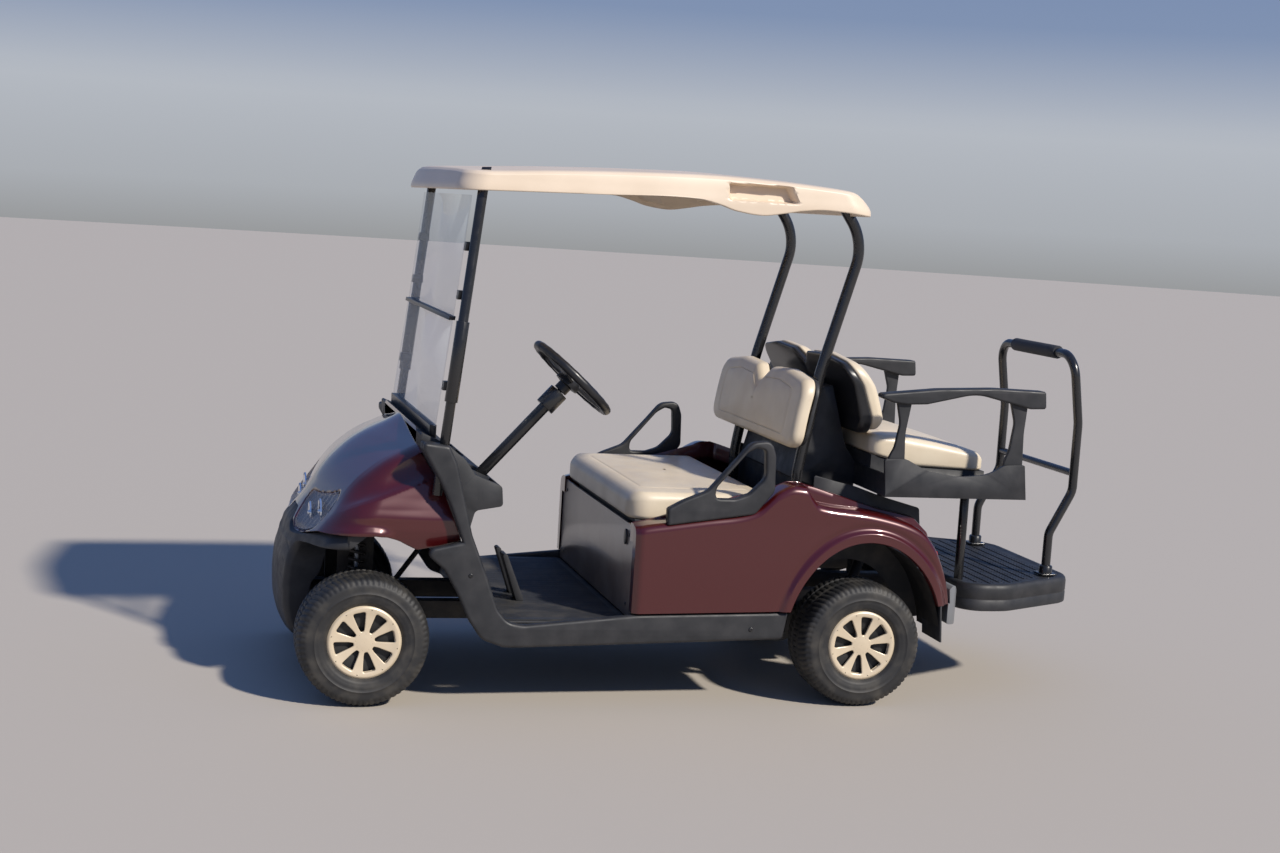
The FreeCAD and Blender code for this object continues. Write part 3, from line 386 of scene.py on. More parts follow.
def ring(mesh, profile, centre, axis=0, count=48):
    # profile (along the axis, radius) turned about the axis through centre
    a = np.linspace(0, 2 * np.pi, count, endpoint=False)
    along, radius = profile[:, 0], profile[:, 1]
    p = np.zeros((len(a), len(profile), 3))
    others = [k for k in range(3) if k != axis]
    p[..., axis] = along
    p[..., others[0]] = np.outer(np.cos(a), radius)
    p[..., others[1]] = np.outer(np.sin(a), radius)
    mesh.grid(p + np.asarray(centre, float), closeRows=True)


def smoothTable(table, z):
    # columns of a table as smooth curves of its first column: cubic pieces with limited slopes
    table = np.asarray(table, float)
    x, y = table[:, 0], table[:, 1:]
    h = np.diff(x)[:, None]
    slope = np.diff(y, axis=0) / h
    tangent = np.zeros_like(y)
    same = slope[:-1] * slope[1:] > 0
    mean = 2 * slope[:-1] * slope[1:] / np.where(same, slope[:-1] + slope[1:], 1)
    tangent[1:-1] = np.where(same, mean, 0)
    tangent[0], tangent[-1] = slope[0], slope[-1]
    z = np.clip(np.asarray(z, float), x[0], x[-1])
    i = np.clip(np.searchsorted(x, z, side="right") - 1, 0, len(x) - 2)
    t = ((z - x[i]) / h[i, 0])[..., None]
    start = y[i] * (1 + 2 * t) * (1 - t) ** 2 + tangent[i] * h[i] * t * (1 - t) ** 2
    end = y[i + 1] * t * t * (3 - 2 * t) + tangent[i + 1] * h[i] * t * t * (t - 1)
    return start + end


def box01(value, low, high, soft):
    # 1 between low and high, with ramps of width soft outside
    return np.clip((value - low) / soft + 1, 0, 1) * np.clip((high - value) / soft + 1, 0, 1)


def halfGrid(surface, tCount, vCount):
    # a surface's points for t and v from 0 to 1
    t, v = np.meshgrid(np.linspace(0, 1, tCount), np.linspace(0, 1, vCount), indexing="ij")
    return surface(t, v)


def normalOf(surface, t, v, step):
    # across the surface, from differences over a small step
    a = surface(np.clip(t + step, 0, 1), v) - surface(np.clip(t - step, 0, 1), v)
    b = surface(t, np.clip(v + step, 0, 1)) - surface(t, np.clip(v - step, 0, 1))
    return unit(np.cross(b, a))


# CAD nodes that are shown as they are, with their edges broken

# finish, metres the edges are broken by (none for thin sheet), nodes
dressed = [
    (chassis, 0.0015, ["chassis_frame", "tow_member", "seat_support", "step_frame", "front_arms",
                       "steering_rack", "leaf_springs", "rear_shocks", "knuckle_left", "knuckle_right",
                       "tie_rod_left", "tie_rod_right"]),
    (cast, 0.002, ["rear_axle"]),
    (plastic, 0.003, ["dash_panel", "seat_pan", "rear_deck", "seat_divider", "pedals", "rear_seat_tray",
                      "mud_flaps", "seat_back_shell"]),
    (mat, 0.002, ["floor_pan"]),
    (taupe, 0.002, ["seat_front_panel"]),
    (greyBumper, 0.004, ["rear_bumper"]),
    (steel, 0.0015, ["front_struts", "rear_struts", "footplate_posts", "steering_column"]),
    (battery, 0.004, ["battery_pack"]),
    (clear, None, ["windshield_lower", "windshield_upper"]),
    (smoothBlack, 0.002, ["windshield_fittings"]),
    (red, 0.0015, ["tail_lamps"])]


def dress(name, finish, width):
    piece = nodes[name]
    piece.data.materials.clear()
    piece.data.materials.append(finish.material)
    piece.data.polygons.foreach_set("use_smooth", np.ones(len(piece.data.polygons), bool))
    weld = piece.modifiers.new("weld", "WELD")
    weld.merge_threshold = weldDistance
    if width:
        bevel = piece.modifiers.new("bevel", "BEVEL")
        bevel.limit_method = "ANGLE"
        bevel.angle_limit = math.radians(32)
        bevel.width = width
        bevel.segments = 2
        bevel.harden_normals = True
        bevel.use_clamp_overlap = True


for finish, width, names in dressed:
    for name in names:
        dress(name, finish, width)
print("CAD nodes dressed")

# Tyres and wheels

tyre = {
    "radius": 212.7, "bead": 103, "beadX": 78,
    "pitches": 68, "stepsPerPitch": 6, "lug": 3.2, "groove": 6.5, "sipe": 3.0,
    # x, r, corner radius of half the section
    "half": [(-78, 103, 0), (-78, 113, 3), (-84, 118, 8), (-96, 128, 14), (-102.5, 152, 30), (-100, 186, 26),
             (-88, 205, 18), (-58, 211.2, 60)]}
otherHalf = [(-x, r, turn) for x, r, turn in tyre["half"][::-1]]
tyreSection = outline(tyre["half"] + [(0, tyre["radius"], 300)] + otherHalf, 3.0, 5.0, False)


def tyreMesh():
    # section turned about the axle. On the tread its radius drops by the grooves: two that run round and
    # cross cuts at each pitch that lean with |x| and run out over the shoulder
    angle = np.linspace(0, 2 * np.pi, tyre["pitches"] * tyre["stepsPerPitch"], endpoint=False)[:, None]
    x, r = tyreSection[None, :, 0], tyreSection[None, :, 1]
    out = np.abs(x)
    turns = angle * tyre["pitches"] / (2 * np.pi)
    phase = (turns + 0.012 * out + np.where(x > 0, 0.5, 0.0)) % 1.0
    lugs = box01(phase, 0.34, 0.60, 0.12) * box01(out, 34, 200, 6) * box01(r, 194, 300, 6)
    sipes = box01((turns + 0.004 * x) % 1.0, 0.4, 0.55, 0.12) * box01(out, -1, 16, 5)
    grooves = box01(out, 24, 29, 3.5) * (r > 190)
    depth = np.maximum(np.maximum(lugs * tyre["lug"], grooves * tyre["groove"]), sipes * tyre["sipe"])
    bands = 0.8 * box01(r, 128, 131, 2) + 1.7 * box01(r, 158.5, 161, 1.5) - 1.2 * box01(r, 150, 155, 3)
    radius = r - depth * (r > 180)
    side = x + np.sign(x) * (bands - depth * box01(r, 150, 190, 6) * 0.5) * (out > 90)
    mesh = Mesh()
    mesh.grid(np.stack([side + 0 * angle, radius * np.cos(angle), radius * np.sin(angle)], 2), closeRows=True)
    turn = angle[:, 0]
    inside = [np.stack([0 * turn + x, tyre["bead"] * np.cos(turn), tyre["bead"] * np.sin(turn)], 1)
              for x in (-tyre["beadX"], tyre["beadX"])]
    mesh.grid(np.stack(inside, 1), closeRows=True, flip=True)
    return mesh


cover = {
    "windows": 8, "windowMiddle": (74.0, 0.0), "inner": 27.0, "outer": 108.0, "edge": 118.5,
    # r, across, corner radius of one window
    "window": [(34, -5, 4), (46, -9.5, 60), (93, -20.5, 5), (97, -16, 5), (97, 16, 5), (93, 20.5, 5),
               (46, 9.5, 60), (34, 5, 4)],
    # r, distance out from the wheel's middle plane
    "depth": [(0, 85.6), (12, 85.4), (22, 84.6), (30, 83.8), (38, 83.4), (46, 83.6), (60, 84.6), (84, 86.6),
              (98, 89), (104, 90.6), (110, 90.6), (114, 89), (118.5, 85)],
    # the window's wall: inset from its outline and drop from the face
    "wall": [(0.0, 7.0), (0.0, 3.0), (0.6, 1.0), (2.0, 0.15), (4.0, 0.0)]}


def coverX(r):
    return smoothTable(cover["depth"], r)[..., 0]


def coverMesh():
    # a sector for each window, strips from the rounded window to the sector's border, with the middle and
    # the rim's flange turned inside and outside them
    window = outline(cover["window"], 2.0, 3.2)
    centre = np.array(cover["windowMiddle"])
    wedge = math.pi / cover["windows"]
    fromCentre = window - centre
    distance = np.linalg.norm(fromCentre, axis=1)[:, None]
    ray = fromCentre / distance
    # first border met along each ray: either side of the wedge, the outer circle or the inner one
    reach = np.full(len(window), 1e9)
    for sign in (-1, 1):
        across = np.array([-math.sin(sign * wedge), math.cos(sign * wedge)]) * sign
        met = -(centre @ across) / (ray @ across)
        reach = np.where((met > 0) & (ray @ across > 1e-6), np.minimum(reach, met), reach)
    along = ray @ centre
    outside = along ** 2 - (centre @ centre - cover["outer"] ** 2)
    reach = np.minimum(reach, -along + np.sqrt(outside))
    inside = along ** 2 - (centre @ centre - cover["inner"] ** 2)
    met = np.where(inside > 0, -along - np.sqrt(np.maximum(inside, 0)), 1e9)
    reach = np.where(met > 0, np.minimum(reach, met), reach)
    border = centre + ray * reach[:, None]
    strips = [(window + fromCentre / distance * inset, drop) for inset, drop in cover["wall"]]
    face = strips[-1][0]
    strips += [(face * (1 - share) + border * share, 0.0) for share in (0.5, 1.0)]
    points = np.stack([np.column_stack([coverX(np.linalg.norm(loop, axis=1)) - drop, loop])
                       for loop, drop in strips])
    mesh = Mesh()
    for k in range(cover["windows"]):
        mesh.grid(points @ turnAboutX(2 * wedge * k), closeColumns=True)
    middle = np.linspace(0.5, cover["inner"], 22)
    ring(mesh, np.stack([coverX(middle), middle], 1), (0, 0, 0), count=64)
    flange = np.linspace(cover["outer"], cover["edge"], 9)
    rim = np.concatenate([np.stack([coverX(flange), flange], 1), [(80, 118.3), (76, 112), (76, 96)]])
    ring(mesh, rim, (0, 0, 0), count=96)
    return mesh


def turnAboutX(angle):
    # matrix for rows of points
    c, s = math.cos(angle), math.sin(angle)
    return np.array([[1, 0, 0], [0, c, s], [0, -s, c]])


# x, r of the rim's barrel with its web, and of the brake drum inside it
rimBarrel = [(84, 112), (78.5, 111), (78, 101.5), (-78, 101.5), (-78.5, 111), (-84, 112), (-84, 97), (20, 97),
             (26, 90), (26, 40), (45, 36), (45, 16), (55, 16), (55, 1)]
rimDrum = [(66, 97), (66, 60), (60, 40), (60, 20)]


def rimMesh():
    mesh = Mesh()
    ring(mesh, np.array(rimBarrel, float), (0, 0, 0), count=64)
    ring(mesh, np.array(rimDrum, float), (0, 0, 0))
    return mesh


# name, half the track, y, side, how far the wheel has turned
wheelPlaces = [("front_left", 450, 0, 1, 0.21), ("front_right", 450, 0, -1, 0.4),
               ("rear_left", 489, 1670, 1, -0.13), ("rear_right", 489, 1670, -1, 0.4)]
# kind, mesh, finish, slot, start of the name of the node it replaces
wheelForms = [("tyre", tyreMesh(), rubber, "tyre_rubber", ["tyre_"]),
              ("cover", coverMesh(), coverFinish, "wheel_cover", ["wheel_"]),
              ("rim", rimMesh(), rimFinish, "black_steel", [])]
for name, half, y, side, turned in wheelPlaces:
    for kind, form, finish, slot, gone in wheelForms:
        part = Mesh()
        points = np.concatenate(form.verts) @ turnAboutX(turned)
        part.add((points + (half, y, tyre["radius"])) * (side, 1, 1))
        part.faces = [list(face) for face in form.faces]
        replaced = [start + name for start in gone]
        part.build(kind + "_" + name, finish, "wheel_" + name, slot, replaced, sharp=38)
print("wheels made")

# Cowl: the plan at each height is a long-sided oval

cowl = {
    "top": 889.0, "lipLevel": 545.0,
    # z, y at the nose, half width, how fast the front sweeps back, corner radius
    "plans": [(500, -214, 520, 0.13, 120), (530, -210, 530, 0.13, 122), (553, -196, 536, 0.13, 122),
              (580, -177, 540, 0.13, 118), (606, -159, 540, 0.135, 112), (640, -139, 526, 0.145, 104),
              (675, -119, 508, 0.155, 92), (717, -88, 488, 0.165, 70), (740, -67, 480, 0.175, 58),
              (785, -18, 466, 0.21, 48), (820, 34, 450, 0.265, 46), (855, 103, 420, 0.295, 44),
              (889, 160, 376, 0.31, 44), (900, 176, 350, 0.31, 44)],
    # y, z of the lower edge along the side, and |x|, z of it along the front
    "sideLip": [(-120, 552), (-103, 552), (-60, 556), (-20, 560), (11, 561), (50, 556), (101, 540),
                (160, 512), (230, 528), (292, 546)],
    "frontLip": [(0, 570), (55, 569), (90, 545), (130, 514), (160, 506), (230, 511), (300, 523), (380, 540),
                 (440, 551), (540, 553)],
    # z, y of the rear edge
    "back": [(440, 292), (546, 292), (666, 246), (746, 206), (838, 152), (900, 152)],
    # shares of t: the straight side ends, the corner ends
    "sideEnd": 0.30, "cornerEnd": 0.52}


def valueAt(table, value):
    # straight lines between the rows of a table
    return np.interp(value, *np.array(table, float).T)


def cowlSweep(x, slope):
    # how far the front lies back at x: a hyperbola that starts flat in the middle
    return slope * (np.sqrt(x * x + 75 ** 2) - 75)


def cowlFront(x, z):
    # y of the front face and its corners
    nose, half, slope, radius = np.moveaxis(smoothTable(cowl["plans"], z), -1, 0)
    turned = np.clip((np.abs(x) - half + radius) / radius, 0, 1)
    return nose + cowlSweep(x, slope) + radius * (1 - np.sqrt(1 - turned ** 2))


def cowlOval(z, t):
    # point of the plan at height z: t 0 at the rear edge of the left side, 1 in the middle of the nose. The
    # front sweeps back and turns the corner by a quarter circle into the straight side
    nose, half, slope, radius = np.moveaxis(smoothTable(cowl["plans"], z), -1, 0)
    rear = valueAt(cowl["back"], z)
    cornerY = nose + cowlSweep(half, slope) + radius
    back = np.maximum(rear, cornerY + 1)
    sideEnd, cornerEnd = cowl["sideEnd"], cowl["cornerEnd"]
    a = np.clip((cornerEnd - t) / (cornerEnd - sideEnd), 0, 1) * np.pi / 2
    frontX = (half - radius) * np.clip((1 - t) / (1 - cornerEnd), 0, 1)
    x = np.where(t > cornerEnd, frontX, half - radius + radius * np.sin(a))
    y = nose + cowlSweep(x, slope) + np.where(t > cornerEnd, 0, radius * (1 - np.cos(a)))
    y = np.where(t < sideEnd, back + (cornerY - back) * np.clip(t / sideEnd, 0, 1), y)
    return x, np.minimum(y, rear + 1)


def lipHeight(x, y):
    side = valueAt(cowl["sideLip"], y)
    ahead = smoothTable(cowl["frontLip"], np.abs(x))[..., 0]
    return ahead + (side - ahead) * np.clip((y + 128) / 30, 0, 1)


def cowlPoint(t, v):
    # v 0 at the lower lip, 1 at the top. Heights follow the lip at the bottom and level out above
    x, y = cowlOval(np.full_like(t, cowl["lipLevel"]), t)
    low = lipHeight(x, y)
    z = low + (cowl["top"] - low) * v
    x, y = cowlOval(z, t)
    return np.stack([x, y, z], -1)


lamp = {
    "middle": (232.0, 586.0), "recess": 17.0,
    # x, z, corner radius of the outline in front view
    "outline": [(150, 513, 22), (108, 552, 60), (74, 606, 26), (92, 630, 30), (180, 634, 120),
                (290, 650, 120), (356, 668, 26), (392, 640, 60), (388, 580, 60), (372, 552, 40),
                (300, 530, 120), (215, 516, 100)],
    # x, z, radius of the reflectors
    "bowls": [(196, 570, 34), (286, 588, 40)]}
lampLoop = outline(lamp["outline"], 4.0, 5.0)
lampMiddle = np.array(lamp["middle"])


def insideLoop(loop, x, z):
    # distance of points inside a closed outline from its edge, negative outside
    x, z = x[..., None], z[..., None]
    a, b = loop, np.roll(loop, -1, 0)
    run = b - a
    share = np.clip(((x - a[:, 0]) * run[:, 0] + (z - a[:, 1]) * run[:, 1]) / np.sum(run ** 2, 1), 0, 1)
    far = np.hypot(x - a[:, 0] - share * run[:, 0], z - a[:, 1] - share * run[:, 1]).min(-1)
    rise = np.where(run[:, 1] == 0, 1e-9, run[:, 1])
    crossed = ((a[:, 1] > z) != (b[:, 1] > z)) & (x < a[:, 0] + (z - a[:, 1]) * run[:, 0] / rise)
    return np.where(crossed.sum(-1) % 2 == 1, far, -far)


def cowlSkin(t, v):
    # the oval with the fender's ridge and the dish above it, the flared lip over the wheel and the lamp's
    # recess, each a bell or a smooth step of the distance from its line
    p, n = cowlPoint(t, v), normalOf(cowlPoint, t, v, 0.004)
    x, y, z = np.moveaxis(p, -1, 0)
    above = z - 618 - 118 * np.clip((y + 90) / 300, -0.3, 1.2)
    dish = np.exp(-((above - 62) / np.where(above > 0, 44, 30)) ** 2)
    ridge = np.exp(-(np.minimum(above, 0) / 60) ** 2) * np.exp(-(np.maximum(above, 0) / 18) ** 2)
    out = (12 * ridge - 17 * dish) * np.clip((x - 400) / 90, 0, 1) * np.clip((y + 120) / 90, 0, 1)
    fromLip = np.clip(z - lipHeight(x, y) - 4, 0, 200)
    wing = np.exp(-(fromLip / 15) ** 2) * np.clip((84 - y) / 50, 0, 1) * np.clip((y + 150) / 90, 0, 1)
    out = out + 15 * wing * np.clip((x - 440) / 80, 0, 1)
    step = np.clip((insideLoop(lampLoop, x, z) + 5) / 7, 0, 1)
    return p + n * (out - lamp["recess"] * step * step * (3 - 2 * step))[..., None]


skin = halfGrid(cowlSkin, 170, 96)
cowlMesh = Mesh()
whole = np.concatenate([skin, flipX(skin[:-1])[::-1]])
cowlMesh.grid(whole, flip=True)
# hems turned in along the lower lip and the rear edge
foot = whole[:, 0]
toMiddle = unit(foot * (1, 1, 0) - (0, 150, 0))
cowlMesh.grid(np.stack([foot, foot + (0, 0, -2) - toMiddle * 2, foot - toMiddle * 14], 1))
for edge in (whole[0], whole[-1]):
    inward = np.array([-1.0, 0, 0]) * np.sign(edge[:1, 0:1])
    cowlMesh.grid(np.stack([edge, edge + inward * 3 + (0, 1.5, 0), edge + inward * 16 + (0, 1.5, 0)], 1))
cowlMesh.build("cowl_skin", paint, "chassis", "body_paint", ["front_cowl"], sharp=50)

# Lamps: a clear cover flush with the cowl over a shaped bowl with two round reflectors

lampMesh, bowlMesh, reflectorMesh = Mesh(), Mesh(), Mesh()
lampShares = np.concatenate([np.linspace(0.01, 0.9, 12), [0.94, 0.97, 0.99, 1.0]])
for form, depth, sink, flute in ((lampMesh, -1.5, 3.0, 0), (bowlMesh, 15.0, -7.0, 1.4)):
    rows = []
    for share in lampShares:
        x, z = (lampMiddle + (lampLoop - lampMiddle) * share * 0.995).T
        y = cowlFront(x, z) + depth + sink * share ** 14 + flute * np.cos(x / 6.5)
        rows.append(np.stack([x, y, z], 1))
    form.grid(np.stack(rows), closeColumns=True)
    form.copy(flipX)
lampMesh.build("lamp_lenses", lens, "chassis", "lamp_lens", ["headlights"], sharp=60)
bowlMesh.build("lamp_bowls", bowlDark, "chassis", "lamp_lens", sharp=60)
for x, z, radius in lamp["bowls"]:
    y = float(cowlFront(np.array(x), np.array(z)))
    dish = [(9 + 5 * (1 - (r / radius) ** 2), r) for r in np.linspace(0.5, radius, 12)]
    dish += [(7, radius + 2), (12, radius + 3)]
    ring(reflectorMesh, np.array(dish), (x, y, z), axis=1, count=40)
    ball = [(9 - 7 * math.cos(a), max(8 * math.sin(a), 0.2)) for a in np.linspace(0, np.pi, 10)]
    ring(reflectorMesh, np.array(ball), (x, y, z), axis=1, count=20)
reflectorMesh.copy(flipX)
reflectorMesh.build("lamp_bulbs", mirror, "chassis", "lamp_lens", sharp=60)
print("cowl made")

# Front bumper: a wide shelf wrapped under the cowl over a narrow chin that reaches down before the frame

bumper = {
    # z, y in the middle of the front
    "nose": [(160, -199), (166, -212), (180, -224), (209, -237), (262, -249), (335, -252), (401, -248),
             (447, -237), (485, -226), (523, -214), (548, -198), (572, -179), (588, -168)],
    # how far up the piece, its half width, z, corner radius, y of its rear edge
    "rows": [(0.00, 206, 160, 14, -176), (0.03, 215, 163, 16, -172), (0.08, 223, 178, 18, -168),
             (0.20, 225, 262, 20, -158), (0.32, 226, 337, 20, -146), (0.42, 228, 379, 20, -119),
             (0.50, 232, 430, 22, -107), (0.56, 246, 462, 26, -102), (0.62, 290, 486, 34, -98),
             (0.68, 380, 495, 44, -78), (0.74, 480, 500, 52, -62), (0.785, 518, 505, 60, -60),
             (0.83, 528, 520, 70, -60), (0.92, 530, 548, 84, -60), (1.00, 526, 580, 96, -60)],
    # shares of t: the straight side ends, the corner ends
    "sideEnd": 0.22, "cornerEnd": 0.42,
    "grooves": 4, "grooveDepth": 2.0, "tuck": 34}


def frontSweep(x):
    # how far the front lies back at x: nearly flat in the middle, then swept, as a hyperbola
    return 0.151 * ((x - 180) + np.sqrt((x - 180) ** 2 + 90 ** 2)) - 3.2


def bumperSkin(t, v):
    # v 0 at the bottom, 1 under the cowl; t 0 at the side's rear edge, 1 in the middle of the front. Each
    # level is a swept front, a corner of a quarter circle and a straight side
    half, z, radius, rear = np.moveaxis(smoothTable(bumper["rows"], v), -1, 0)
    nose = smoothTable(bumper["nose"], z)[..., 0]
    sideEnd, cornerEnd = bumper["sideEnd"], bumper["cornerEnd"]
    cornerY = nose + frontSweep(half) + radius
    x = np.where(t > cornerEnd, (half - radius) * (1 - t) / (1 - cornerEnd), half)
    y = np.where(t > cornerEnd, nose + frontSweep(x), rear + (cornerY - rear) * np.clip(t / sideEnd, 0, 1))
    a = (1 - np.clip((t - sideEnd) / (cornerEnd - sideEnd), 0, 1)) * np.pi / 2
    bentX = half - radius + radius * np.sin(a)
    bentY = nose + frontSweep(bentX) + radius * (1 - np.cos(a))
    bent = (t > sideEnd) & (t <= cornerEnd)
    return np.stack([np.where(bent, bentX, x), np.where(bent, bentY, y), z + 0 * t], -1)


def bumperRelief(t, v):
    # the skin with a soft step under the shelf, fine slanted grooves at each corner of the chin, and its
    # top tucked in under the cowl's lip
    p, n = bumperSkin(t, v), normalOf(bumperSkin, t, v, 0.003)
    n = n * np.sign(np.sum(n * (p - np.array([0, 60, 380])), -1, keepdims=True))
    x, z = p[..., 0], p[..., 2]
    lines = [z - (300 + 52 * k) + 0.35 * (x - 200) for k in range(bumper["grooves"])]
    grooves = sum(np.exp(-(line / 2.6) ** 2) for line in lines) * box01(x, 176, 400, 14) * (t > 0.40)
    step = np.exp(-((z - 470) / 9) ** 2) * np.clip((t - 0.42) / 0.1, 0, 1)
    p = p + n * (1.6 * step - bumper["grooveDepth"] * grooves)[..., None]
    over = np.clip(p[..., 2] - lipHeight(p[..., 0], p[..., 1]) + 5, 0, None)
    tuck = np.minimum(over * 1.6, bumper["tuck"])
    p[..., 1] += tuck
    p[..., 0] -= np.clip((p[..., 0] - 430) / 90, 0, 1) * tuck * 0.6
    p[..., 2] -= np.clip(over - 6, 0, None) * 0.85
    return p


front = halfGrid(bumperRelief, 110, 130)
bumperMesh = Mesh()
whole = np.concatenate([front, flipX(front[:-1])[::-1]])
bumperMesh.grid(whole)
for edge, inward in ((whole[0], -1), (whole[-1], 1)):
    bumperMesh.grid(np.stack([edge, edge + (inward * 3, 1.5, 0), edge + (inward * 6, -6, 0)], 1))
foot = whole[:, 0]
toMiddle = unit(np.array([0.0, -100.0, 0]) - foot * (1, 1, 0))
bumperMesh.grid(np.stack([foot, foot + toMiddle * 3 + (0, 0, -1), foot + toMiddle * 10 + (0, 0, 4)], 1))
bumperMesh.build("bumper_wrap", plastic, "chassis", "black_plastic", ["front_bumper"], sharp=45)

# Side trim: rolled-edge panel from the dash down to the end of the sill

trim = {
    # y, z, corner radius
    "panel": [(292, 546, 0), (246, 666, 60), (206, 746, 60), (152, 838, 10), (152, 862, 8), (236, 852, 10),
              (262, 800, 40), (280, 730, 60), (322, 569, 80), (376, 437, 80), (416, 330, 60),
              (450, 288, 60), (500, 278, 100), (880, 314, 200), (1400, 325, 8), (1385, 233, 15),
              (500, 205, 60), (440, 205, 60), (367, 231, 60), (325, 291, 60), (280, 384, 60),
              (237, 456, 20), (163, 518, 20)],
    "panelX": (546, 580), "panelRoll": 11,
    "upper": [(222, 712, 0), (206, 746, 20), (152, 838, 8), (152, 862, 8), (236, 852, 10), (262, 800, 40),
              (276, 712, 0)],
    "upperX": (500, 552), "upperRoll": 5}
trimMesh = Mesh()
plate(trimMesh, outline(trim["panel"], 6.0, 7.0), "yz", *trim["panelX"], trim["panelRoll"], 5)
plate(trimMesh, outline(trim["upper"], 6.0), "yz", *trim["upperX"], trim["upperRoll"], 3)
trimMesh.copy(flipX)
trimMesh.build("side_trim_panels", plastic, "chassis", "black_plastic", ["side_trim"], sharp=45)
print("bumper and trim made")

# Rear body: from the panel's lower edge and round the arch up to the shoulder, then in over its top

body = {
    "half": 590.0, "roll": 30.0, "front": 862, "rear": 1991, "sillZ": (319, 330), "tailZ": 352,
    # the arch: an ellipse about y, z with its reach and rise
    "archY": 1670.0, "archZ": 212.7, "archReach": 285.0, "archRise": 356.0,
    # y, z of the side's top line, which steps down to the fender's shelf
    "top": [(862, 604), (900, 612), (966, 621), (1110, 641), (1200, 652), (1270, 672), (1345, 733),
            (1395, 752), (1436, 748), (1460, 716), (1484, 692), (1540, 681), (1653, 669), (1754, 649),
            (1825, 626), (1870, 600), (1905, 560), (1945, 490), (1981, 402), (1991, 352)],
    # y, z of the wall that goes on behind the shelf
    "wallTop": [(862, 604), (1345, 738), (1420, 756), (1500, 734), (1600, 704), (1715, 670), (1850, 643),
                (1905, 592), (1981, 404), (1991, 353)],
    "shelfX": 511, "wallX": [(0.06, 508), (0.5, 506.5), (0.92, 505), (1.0, 502)],
    # y, x of the inner border of the top
    "inner": [(862, 505), (1440, 505), (1512, 430), (1991, 428)]}
archY, archZ, archReach, archRise = (body[key] for key in ("archY", "archZ", "archReach", "archRise"))


def bodyX(y, z):
    # half width of the skin: a flat side with a belly, and a flare that stands out round the arch and rolls
    # into it, drawn in at the front and the rear end
    near = (np.hypot((y - archY) / archReach, (z - archZ) / archRise) - 1) * 320
    flare = 11 * np.exp(-(np.clip(near - 24, 0, 500) / 8) ** 2) - 3 * np.exp(-((near - 44) / 9) ** 2)
    belly = 3.0 * np.sin(np.clip((z - 330) / 290, 0, 1) * np.pi)
    rear = 46 * np.clip((y - 1900) / 95, 0, 1) ** 2
    front = 14 * np.clip((884 - y) / 22, 0, 1) ** 2
    return body["half"] - 6 + belly + flare - rear - front


def bodyLower():
    # the lower border in side view: sill, up round the arch, down to the rear end
    starts = [(body["sillZ"][1] - archZ) / archRise, (body["tailZ"] - archZ) / archRise]
    reach = [math.sqrt(1 - rise ** 2) for rise in starts]
    a = np.linspace(math.atan2(starts[0], -reach[0]), math.atan2(starts[1], reach[1]), 80)
    arch = np.stack([archY + archReach * np.cos(a), archZ + archRise * np.sin(a)], 1)
    foot, tail = arch[0, 0], arch[-1, 0]
    sill = np.stack([np.linspace(body["front"], foot, 60)[:-1], np.linspace(*body["sillZ"], 59)], 1)
    end = np.stack([np.linspace(tail, body["rear"], 10)[1:], np.full(9, body["tailZ"])], 1)
    return np.concatenate([sill, arch, end])


lower = bodyLower()
topY = np.interp(lower[:, 0], [862, 1401, 1945, 1991], [862, 1380, 1955, 1991])
topZ = smoothTable(body["top"], topY)[:, 0]
rows = []
for level in np.linspace(0, 1, 44) ** 0.9:
    y = lower[:, 0] * (1 - level) + topY * level
    z = lower[:, 1] * (1 - level) + (topZ - body["roll"]) * level
    rows.append(np.stack([bodyX(y, z), y, z], 1))
shoulder = rows[-1]
for a in np.linspace(0.08, 1, 9) * np.pi / 2:
    rows.append(shoulder + body["roll"] * np.array([math.cos(a) - 1, 0, math.sin(a)]))
brow = rows[-1]
inner = valueAt(body["inner"], brow[:, 1])
for share in np.linspace(0.15, 1, 7):
    x = brow[:, 0] * (1 - share) + body["shelfX"] * share
    rows.append(np.stack([x, brow[:, 1], brow[:, 2] + 3 * math.sin(share * math.pi / 2)], 1))
shelf = rows[-1]
rise = np.maximum(valueAt(body["wallTop"], shelf[:, 1]) - shelf[:, 2], 0)
for share, x in body["wallX"]:
    rows.append(np.stack([np.full(len(shelf), float(x)), shelf[:, 1], shelf[:, 2] + rise * share], 1))
wallX = body["wallX"][-1][1]
for share in (0.5, 1.0):
    x = wallX * (1 - share) + np.minimum(inner, wallX - 1) * share
    rows.append(np.stack([x, shelf[:, 1], shelf[:, 2] + rise + 1], 1))
drop = rows[-1]
rows += [drop + (-1.5, 0, -3), drop + (-2, 0, -60)]
rows = np.stack(rows)
bodyMesh = Mesh()
bodyMesh.grid(rows)
# the lower edge turned in: square to the arch along it, and level along the sill
edge = rows[0]
toArch = unit(edge * (0, 1, 1) - (0, archY, archZ))
onArch = ((np.abs(edge[:, 1] - archY) < archReach) & (edge[:, 2] > 331))[:, None]
turned = edge + (-3, 0, 0) + np.where(onArch, toArch * -2.5, (0, 0, -1))
hem = [edge, turned, turned + (-26, 0, 0), turned + (-28, 0, 0) + np.where(onArch, toArch * 10, (0, 0, 6))]
bodyMesh.grid(np.stack(hem), flip=True)
# front flange and rear wall
frontEdge, rearEdge = rows[:, 0], rows[:, -1]
bodyMesh.grid(np.stack([frontEdge, frontEdge + (-2.0, -2.5, 0), frontEdge * (0, 1, 1) + (536, -3, 0)]))
bodyMesh.grid(np.stack([rearEdge, rearEdge * (0, 1, 1)]), flip=True)
bodyMesh.copy(flipX)
bodyMesh.build("body_skin", paint, "chassis", "body_paint", ["rear_body"], sharp=42)

